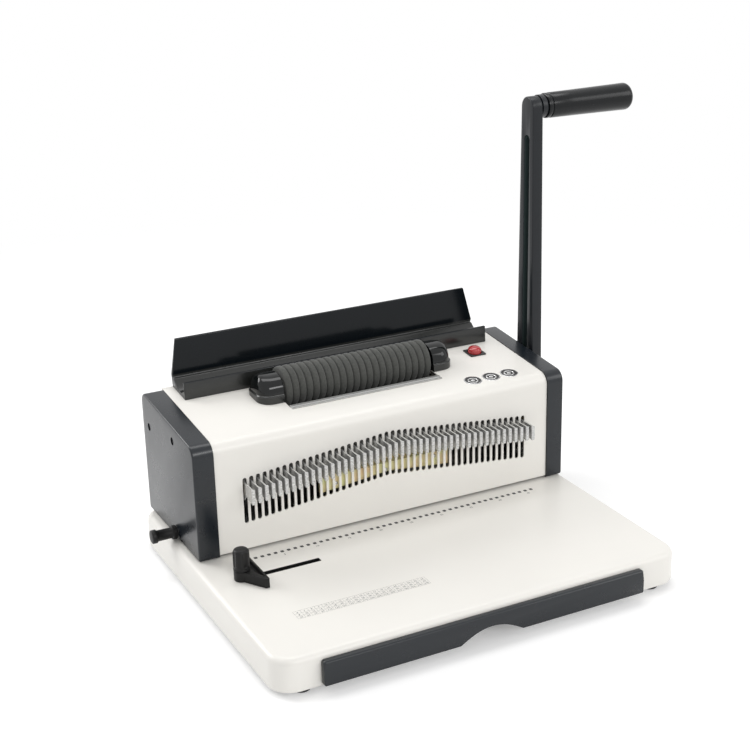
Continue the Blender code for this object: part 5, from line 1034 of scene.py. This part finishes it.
class BuildLever(bpy.types.Operator):
    """Channel-section arm, hub bolt, spindle collar and turning grip"""
    bl_idname = "binder.lever"
    bl_label = "Lever"

    def execute(self, context):
        lever = sizes("lever")
        low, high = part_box("handle_arm")
        hub = axle("main_shaft")
        top_z = high.z - lever.top
        across = (low.y + high.y) / 2

        def strap(foot_z, foot, head_z, head, x, steps):
            lean = math.degrees(math.asin((foot - head) / (head_z - foot_z)))
            return (bow((across, foot_z), foot, 180 - lean, 360 + lean, steps, lambda y, z: (x, y, z))
                    + bow((across, head_z), head, lean, 180 - lean, steps, lambda y, z: (x, y, z)))

        arm = slab("lever_arm", strap(hub.z, lever.foot, top_z, lever.top, low.x, 20), (high.x - low.x, 0, 0))
        soften(arm, 1.2 * MM, 3, 60)
        groove_low, groove_high, half = at(0, 0, 92).z, at(0, 0, 318).z, lever.channel / 2
        groove = slab("groove", strap(groove_low, half, groove_high, half, low.x - MM, 14), (lever.groove + MM, 0, 0))
        carve(arm, groove, rod("bore", -1, 14, 7.3, (low.x, across, hub.z), X_AXIS, 48))
        shape(arm)
        bevel(arm, lambda edge: level(edge, 0, low.x) and all(
            abs(vert.co.y - across) < half + 1.2 * MM and vert.co.z > groove_low - 12 * MM
            and vert.co.z < groove_high + 8 * MM for vert in edge.verts), 0.5 * MM, 2)
        # The channel's faces get the lighter enamel: painted light in the shaded groove
        paint(arm, lambda face, spot: 0.6 * MM < spot.x - low.x < lever.groove + CLEAR
              and abs(spot.y - across) < half + CLEAR
              and groove_low - 8 * MM < spot.z < groove_high + 8 * MM, "arm", "groove")
        settle(arm, "lever", "arm_enamel", None, "handle_arm")

        near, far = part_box("hub_bolt")
        tall = (far.x - near.x) / MM
        profile = [(0, 0), (0, 9.0), (tall - 1.6, 9.0), (tall - 0.8, 8.5), (tall - 0.2, 7.2), (tall, 5.0),
                   (tall, 3.2), (tall - 1.6, 3.0), (tall - 1.6, 0)]
        bolt = turned("hub_cap", profile, (near.x, across, hub.z), X_AXIS, 48)
        settle(bolt, "lever", "black_steel", "dark_steel", "hub_bolt")

        near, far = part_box("grip_spindle")
        tall = (far.x - near.x) / MM
        profile = [(0, 0), (0, 11.0), (4.6, 11.0), (5.5, 10.7), (6.0, 10.2), (6.2, 9.6), (6.2, 4.0), (tall, 4.0),
                   (tall, 0)]
        collar = turned("grip_collar", profile, (near.x, across, top_z), X_AXIS, 56)
        settle(collar, "lever", "arm_enamel", "arm", "grip_spindle")

        near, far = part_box("handle_grip")
        root, end, rounding = lever.grip_root / MM, lever.grip_end / MM, lever.grip_round / MM
        whole = (far.x - near.x) / MM
        profile = [(0, 4.3), (0, root - 1.0), (0.4, root - 0.3), (1.2, root), (3.6, root), (4.2, root - 0.25),
                   (4.5, root - 0.7), (5.1, root - 0.7), (5.4, root - 0.1), (6.2, root + 0.15)]
        profile += [(whole * share, root + (end - root) * share) for share in (0.3, 0.6, 0.85)]
        profile += bow((whole - rounding, end - rounding), rounding, 90, 0, 8)
        profile += [(whole, 3.4), (whole - 0.5, 3.0), (whole - 0.5, 1.0), (whole - 10, 1.0), (whole - 10, 4.3),
                    (0, 4.3)]
        handle = turned("turning_grip", profile, (near.x, across, top_z), X_AXIS, 72)
        settle(handle, "grip", "grip_plastic", "grip", "handle_grip")
        return {"FINISHED"}


class BuildSideGuide(bpy.types.Operator):
    """Sliding guide block with its fence and clamp knob"""
    bl_idname = "binder.side_guide"
    bl_label = "Side guide"

    def execute(self, context):
        low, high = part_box("guide_block")
        x, y = 22.0, GUIDE_Y
        inner, outer, rear, front = 33.0, 36.5, -24.3, -70.8
        base_z, tall = (low.z - HOME.z) / MM, (high.z - low.z) / MM
        outline = bow((x, y), 7.2, 100, 262, 20) + [(inner, front), (outer, front), (outer, rear), (inner, rear)]
        guide = slab("guide_body", [at(across, deep, base_z) for across, deep in outline], (0, 0, tall * MM))
        dish = [(x + 6.9, y - 4.2), (inner - 2.6, front + 14), (inner + 1.6, front + 5), (inner + 1.6, rear - 3),
                (inner - 1.4, rear - 7), (x + 6.9, y + 5.4)]
        cutter = slab("dish", [at(across, deep, base_z + tall - 3.4) for across, deep in dish], (0, 0, 6 * MM))
        carve(guide, cutter, rod("hole", -2, 14, 2.5, at(x, y, base_z), Z_AXIS, 24))
        soften(guide, 0.6 * MM, 3, 50)
        settle(guide, "side_guide", "charcoal_plastic", "charcoal", "guide_block")

        low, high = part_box("guide_knob")
        foot, crown, seat = (low.z - HOME.z) / MM, (high.z - HOME.z) / MM, base_z + tall + 0.3
        dome = 4.2
        profile = [(foot, 0), (foot, 2.2), (seat, 2.2), (seat, 7.0), (seat + 0.5, 7.4), (seat + 1.4, 7.4),
                   (seat + 1.8, 7.2), (seat + 2.4, 7.2)]
        for step in range(8):
            angle = math.radians(90 * step / 8)
            profile.append((crown - dome + dome * math.sin(angle), 7.2 * math.cos(angle) ** 0.55))
        profile.append((crown, 0))
        knob = turned("clamp_knob", profile, at(x, y, 0), Z_AXIS, 64)
        flute = [(seat + 3.2, 0), (seat + 3.2, 4.2), (seat + 4.0, 4.9), (crown + 3, 5.2), (crown + 3, 0)]
        cuts = []
        for index in range(8):
            angle = math.tau * index / 8 + 0.2
            place = at(x + math.cos(angle) * 11.4, y + math.sin(angle) * 11.4, 0)
            cuts.append(turned("flute", flute, place, Z_AXIS, 32))
        carve(knob, joined(cuts, "flutes"))
        settle(knob, "guide_clamp", "charcoal_plastic", "charcoal", "guide_knob")
        return {"FINISHED"}


class BuildMarginKnob(bpy.types.Operator):
    """Margin knob on the left end"""
    bl_idname = "binder.margin_knob"
    bl_label = "Margin knob"

    def execute(self, context):
        low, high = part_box("depth_knob")
        whole = (high.x - low.x) / MM
        profile = [(0, 0), (0, 5.2), (0.3, 5.9), (0.9, 6.3), (4.2, 6.3), (4.8, 6.0), (5.2, 5.5),
                   (6.0, 5.1), (whole - 5.4, 4.9), (whole - 4.7, 5.2), (whole - 4.4, 6.1), (whole - 3.9, 6.5),
                   (whole - 0.6, 6.5), (whole, 6.0), (whole, 2.8), (whole - 11.5, 2.8), (whole - 11.5, 0)]
        knob = turned("margin_dial", profile, axle("depth_knob"), X_AXIS, 48)
        settle(knob, "margin_knob", "gloss_black", "charcoal", "depth_knob")
        return {"FINISHED"}


class BuildSwitch(bpy.types.Operator):
    """Square bezel with its round red push button"""
    bl_idname = "binder.switch"
    bl_label = "Push switch"

    def execute(self, context):
        x, y = 323.5, 76.5
        tilt = Matrix.Translation(at(x, y, sheet_top(y))) @ Matrix.Rotation(math.atan(slope()), 4, "X")
        half, lift, thick = 8.6 * MM, 0.3, 1.3
        rim = softened(oblong(-half, -half, half, half), [1.2 * MM] * 4, 4)
        plate = slab("switch_plate", [(across, deep, lift * MM) for across, deep in rim], (0, 0, thick * MM))
        soften(plate, 0.4 * MM, 2, 50)
        body = block("switch_box", Vector((-7.6, -7.6, -20)) * MM, Vector((7.6, 7.6, 0.9)) * MM)
        bezel = joined([plate, body], "switch_plate")
        well = [(-9, 0), (-9, 7.0), (0.9, 7.0), (1.7, 7.5), (4, 7.5), (4, 0)]
        carve(bezel, turned("well", well, (0, 0, 0), Z_AXIS, 48))
        dome, wide = 3.5, 6.55
        shoulder = lift + thick + 6.0 - dome
        profile = [(-6, 0), (-6, 6.7), (shoulder - 0.6, 6.7), (shoulder, wide)]
        for step in range(1, 9):
            angle = math.radians(90 * step / 8)
            profile.append((shoulder + dome * math.sin(angle), max(0.0, wide * math.cos(angle))))
        button = turned("red_button", profile, (0, 0, 0), Z_AXIS, 56)
        bezel.matrix_world = button.matrix_world = tilt
        settle(bezel, "housing", "black_plastic", "black", "switch_bezel")
        settle(button, "button", "red_plastic", "red", "switch_button")
        return {"FINISHED"}


class BuildBadges(bpy.types.Operator):
    """Three plain turned discs beside the switch"""
    bl_idname = "binder.badges"
    bl_label = "Plain discs"

    def execute(self, context):
        profile = [(0, 0), (0, 8.7), (0.35, 8.7), (0.55, 8.4), (0.55, 7.7), (0.25, 7.5), (0.25, 5.2), (0.5, 5.0),
                   (0.5, 4.2), (0.25, 4.0), (0.25, 1.9), (0.5, 1.7), (0.6, 0)]
        tilt = Matrix.Rotation(math.atan(slope()), 4, "X")

        def dark(face, spot):
            out = spot.xy.length
            return spot.z < 0.45 * MM and 5.1 * MM < out < 7.7 * MM or abs(out - 3.0 * MM) < 0.9 * MM

        y = 21.5
        for number, x in enumerate((289.4, 309.4, 329.2), 1):
            disc = turned(f"plain_disc_{number}", profile, (0, 0, 0), Z_AXIS, 56)
            disc.matrix_world = Matrix.Translation(at(x, y, sheet_top(y) + 0.01)) @ tilt
            paint(disc, dark, "badge", "black")
            settle(disc, "housing", "black_steel", None)
        return {"FINISHED"}


class BuildMarks(bpy.types.Operator):
    """Printed hole marks, plain numbers and a plain ruled table on the base"""
    bl_idname = "binder.marks"
    bl_label = "Printed marks"

    def execute(self, context):
        lift, thick = 0.02, 0.04 * MM
        x = slot_place(0)[0]
        oval = softened(oblong(x - 1.6, -16.1, x + 1.6, -12.5), [0.9] * 4, 3)
        marks = repeated(slab("dash", [at(a, b, lift) for a, b in oval], (0, 0, thick)), "dash", rising=False)
        for number in range(5, sizes("head").slot_count, 5):
            marks.append(self.words(str(number), slot_place(number - 1)[0], -21.5, 2.4, lift))
        settle(joined(marks, "hole_marks"), "housing", "black_plastic", "ink")

        left, right, rows, columns = 36.0, 158.5, (-118.0, -122.2, -126.4, -130.6), 19
        up = Vector((0, 0, thick))
        rules = [block("rule", at(left, y - 0.07, lift), at(right, y + 0.07, lift) + up) for y in rows]
        for column in range(columns + 1):
            x = left + (right - left) * column / columns
            rules.append(block("rule", at(x - 0.05, rows[-1], lift), at(x + 0.05, rows[0], lift) + up))
        for row in range(3):
            for column in range(columns):
                x = left + (right - left) * (column + 0.5) / columns
                value = (column + 6, 2 * column + 8, 20 * column + 30)[row]
                rules.append(self.words(str(value), x, rows[row] - 3.3, 2.0, lift))
        settle(joined(rules, "ruled_table"), "housing", "black_plastic", "pale_ink")
        return {"FINISHED"}

    def words(self, text, x, y, tall, lift):
        """Plain figures lying on the base."""
        leave()
        bpy.ops.object.text_add(location=at(x, y, lift))
        piece = bpy.context.object
        piece.data.body = text
        piece.data.size = tall * 1.4 * MM
        piece.data.align_x = "CENTER"
        piece.data.extrude = 0.02 * MM
        piece.data.resolution_u = 2
        bpy.ops.object.convert(target="MESH")
        bpy.ops.object.transform_apply(location=True, rotation=True, scale=True)
        return piece


# The CAD parts that no piece replaces, by their finish
CARRIED = {
    "zinc": "motor_bracket",
    "black": "drawer_tray roller_cradle roller_core roller_pulley motor_pulley",
    "steel": "base_plate left_side_frame right_side_frame lower_die pin_guide guide_pillar_left guide_pillar_right "
             "carriage_left carriage_right main_shaft pinion_left pinion_right insert_motor guide_nut depth_shaft "
             "back_stop",
    "brass": "shaft_bush_left shaft_bush_right",
    "rubber": "drive_belt",
}


class FinishCarriedParts(bpy.types.Operator):
    """Finishes for the CAD parts that stay as they are"""
    bl_idname = "binder.carried"
    bl_label = "Inner parts"

    def execute(self, context):
        for key, nodes in CARRIED.items():
            for node in nodes.split():
                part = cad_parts[node]
                part.data.materials.clear()
                part.data.materials.append(finish(key))
        return {"FINISHED"}


# Name, place, width, depth, power and aim of each lamp
LAMPS = (("key", (0.2, -3.4, 2.1), 2.4, 0.8, 45.0, (0.0, 0.0, 0.1)),
         ("top", (0.05, 0.3, 1.5), 1.4, 0.5, 7.4, (0.0, 0.0, 0.1)),
         ("fill", (2.4, -2.0, 1.8), 1.4, 1.4, 17.0, (0.0, 0.0, 0.1)),
         ("kicker", (-1.3, 1.5, 1.2), 1.0, 1.0, 20.0, (-0.45, 0.6, 0.0)))


class BuildStage(bpy.types.Operator):
    """Pale floor, soft lights, pale surroundings and the camera"""
    bl_idname = "binder.stage"
    bl_label = "Stage"

    def execute(self, context):
        leave()
        bpy.ops.mesh.primitive_plane_add(size=60.0, location=(0, 0, 0))
        floor = bpy.context.object
        floor.name = "floor"
        made = bpy.data.materials.new("Pale floor")
        made.use_nodes = True
        tree = made.node_tree
        shader = tree.nodes["Principled BSDF"]
        wire(tree, shader, {"Base Color": (*sizes("colours").floor, 1.0), "Roughness": 0.9,
                            "Specular IOR Level": 0.1})
        lit = add(tree, "AddShader", {0: shader.outputs["BSDF"], 1: self.glow(tree, 0.0, 0.22)})
        place = add(tree, "TexCoord", {})
        away = add(tree, "VectorMath", {0: place.outputs["Object"]}, operation="LENGTH")
        fade = add(tree, "MapRange", {"Value": away.outputs["Value"], "From Min": 0.5, "From Max": 1.3},
                   interpolation_type="SMOOTHSTEP")
        both = add(tree, "MixShader", {0: fade.outputs["Result"], 1: lit.outputs[0], 2: self.glow(tree, 0.5, 1.0)})
        wire(tree, tree.nodes["Material Output"], {"Surface": both.outputs[0]})
        floor.data.materials.append(made)

        scene = context.scene
        scene.world = bpy.data.worlds.new("Pale surroundings")
        scene.world.use_nodes = True
        tree = scene.world.node_tree
        wire(tree, tree.nodes["Background"], {"Color": (1.0, 1.0, 1.0, 1.0), "Strength": self.seen(tree, 0.5, 1.0)})
        for values in LAMPS:
            self.lamp(*values)

        # The camera that was fitted to the punch slots and to the straight edges of the housing
        data = bpy.data.cameras.new("view")
        camera = bpy.data.objects.new("view", data)
        scene.collection.objects.link(camera)
        data.sensor_width = 36.0
        data.lens = 71.45
        data.shift_x, data.shift_y = -0.02676, -0.00139
        heading, tilt, roll = math.radians(27.318), math.radians(20.492), math.radians(-1.134)
        ahead = Vector((math.sin(heading) * math.cos(tilt), math.cos(heading) * math.cos(tilt), -math.sin(tilt)))
        across = ahead.cross(Vector(Z_AXIS)).normalized()
        up = across.cross(ahead)
        right = across * math.cos(roll) + up * math.sin(roll)
        above = up * math.cos(roll) - across * math.sin(roll)
        turn = Matrix((right, above, -ahead)).transposed().to_4x4()
        camera.matrix_world = Matrix.Translation((-0.61442, -1.08095, 0.64167)) @ turn
        data.clip_end = 100.0
        scene.camera = camera
        scene.view_settings.view_transform = "Standard"
        return {"FINISHED"}

    def seen(self, tree, other, direct):
        """A strength for camera, glossy and transmission rays, and another for the rest."""
        paths = add(tree, "LightPath", {})
        total = paths.outputs["Is Camera Ray"]
        for ray in ("Is Glossy Ray", "Is Transmission Ray"):
            total = add(tree, "Math", {0: total, 1: paths.outputs[ray]}, operation="MAXIMUM").outputs[0]
        return add(tree, "MapRange", {"Value": total, "To Min": other, "To Max": direct}).outputs["Result"]

    def glow(self, tree, other, direct):
        """White that rays see straight on."""
        inputs = {"Color": (1, 1, 1, 1), "Strength": self.seen(tree, other, direct)}
        return add(tree, "Emission", inputs).outputs["Emission"]

    def lamp(self, name, place, wide, deep, power, aim):
        """A soft lamp with an aim."""
        data = bpy.data.lights.new(name, "AREA")
        data.shape = "RECTANGLE"
        data.size, data.size_y = wide, deep
        data.energy = power
        lamp = bpy.data.objects.new(name, data)
        bpy.context.scene.collection.objects.link(lamp)
        lamp.location = place
        lamp.rotation_euler = (Vector(aim) - Vector(place)).to_track_quat("-Z", "Y").to_euler()


STEPS = (BuildBase, BuildDrawer, BuildHeadCover, BuildEndCovers, BuildRear, BuildTrough, BuildRoller, BuildPunch,
         BuildSprings, BuildLever, BuildSideGuide, BuildMarginKnob, BuildSwitch, BuildBadges, BuildMarks,
         FinishCarriedParts, BuildStage)


class BinderPanel(bpy.types.Panel):
    """Steps of the binding machine, in the sidebar"""
    bl_idname = "VIEW3D_PT_binder"
    bl_label = "Coil binding machine"
    bl_space_type = "VIEW_3D"
    bl_region_type = "UI"
    bl_category = "Binder"

    def draw(self, context):
        for step in STEPS:
            self.layout.operator(step.bl_idname)


def register():
    for name, group in GROUPS.items():
        bpy.utils.register_class(group)
        setattr(bpy.types.Scene, name, bpy.props.PointerProperty(type=group))
    for step in STEPS:
        bpy.utils.register_class(step)
    bpy.utils.register_class(BinderPanel)


def unregister():
    bpy.utils.unregister_class(BinderPanel)
    for step in reversed(STEPS):
        bpy.utils.unregister_class(step)
    for name, group in GROUPS.items():
        delattr(bpy.types.Scene, name)
        bpy.utils.unregister_class(group)


def main():
    """Builds every piece in order."""
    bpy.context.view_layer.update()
    register()
    for step in STEPS:
        area, name = step.bl_idname.split(".")
        if getattr(getattr(bpy.ops, area), name)() != {"FINISHED"}:
            raise RuntimeError(f"{step.bl_label} did not finish")


if __name__ == "__main__":
    main()
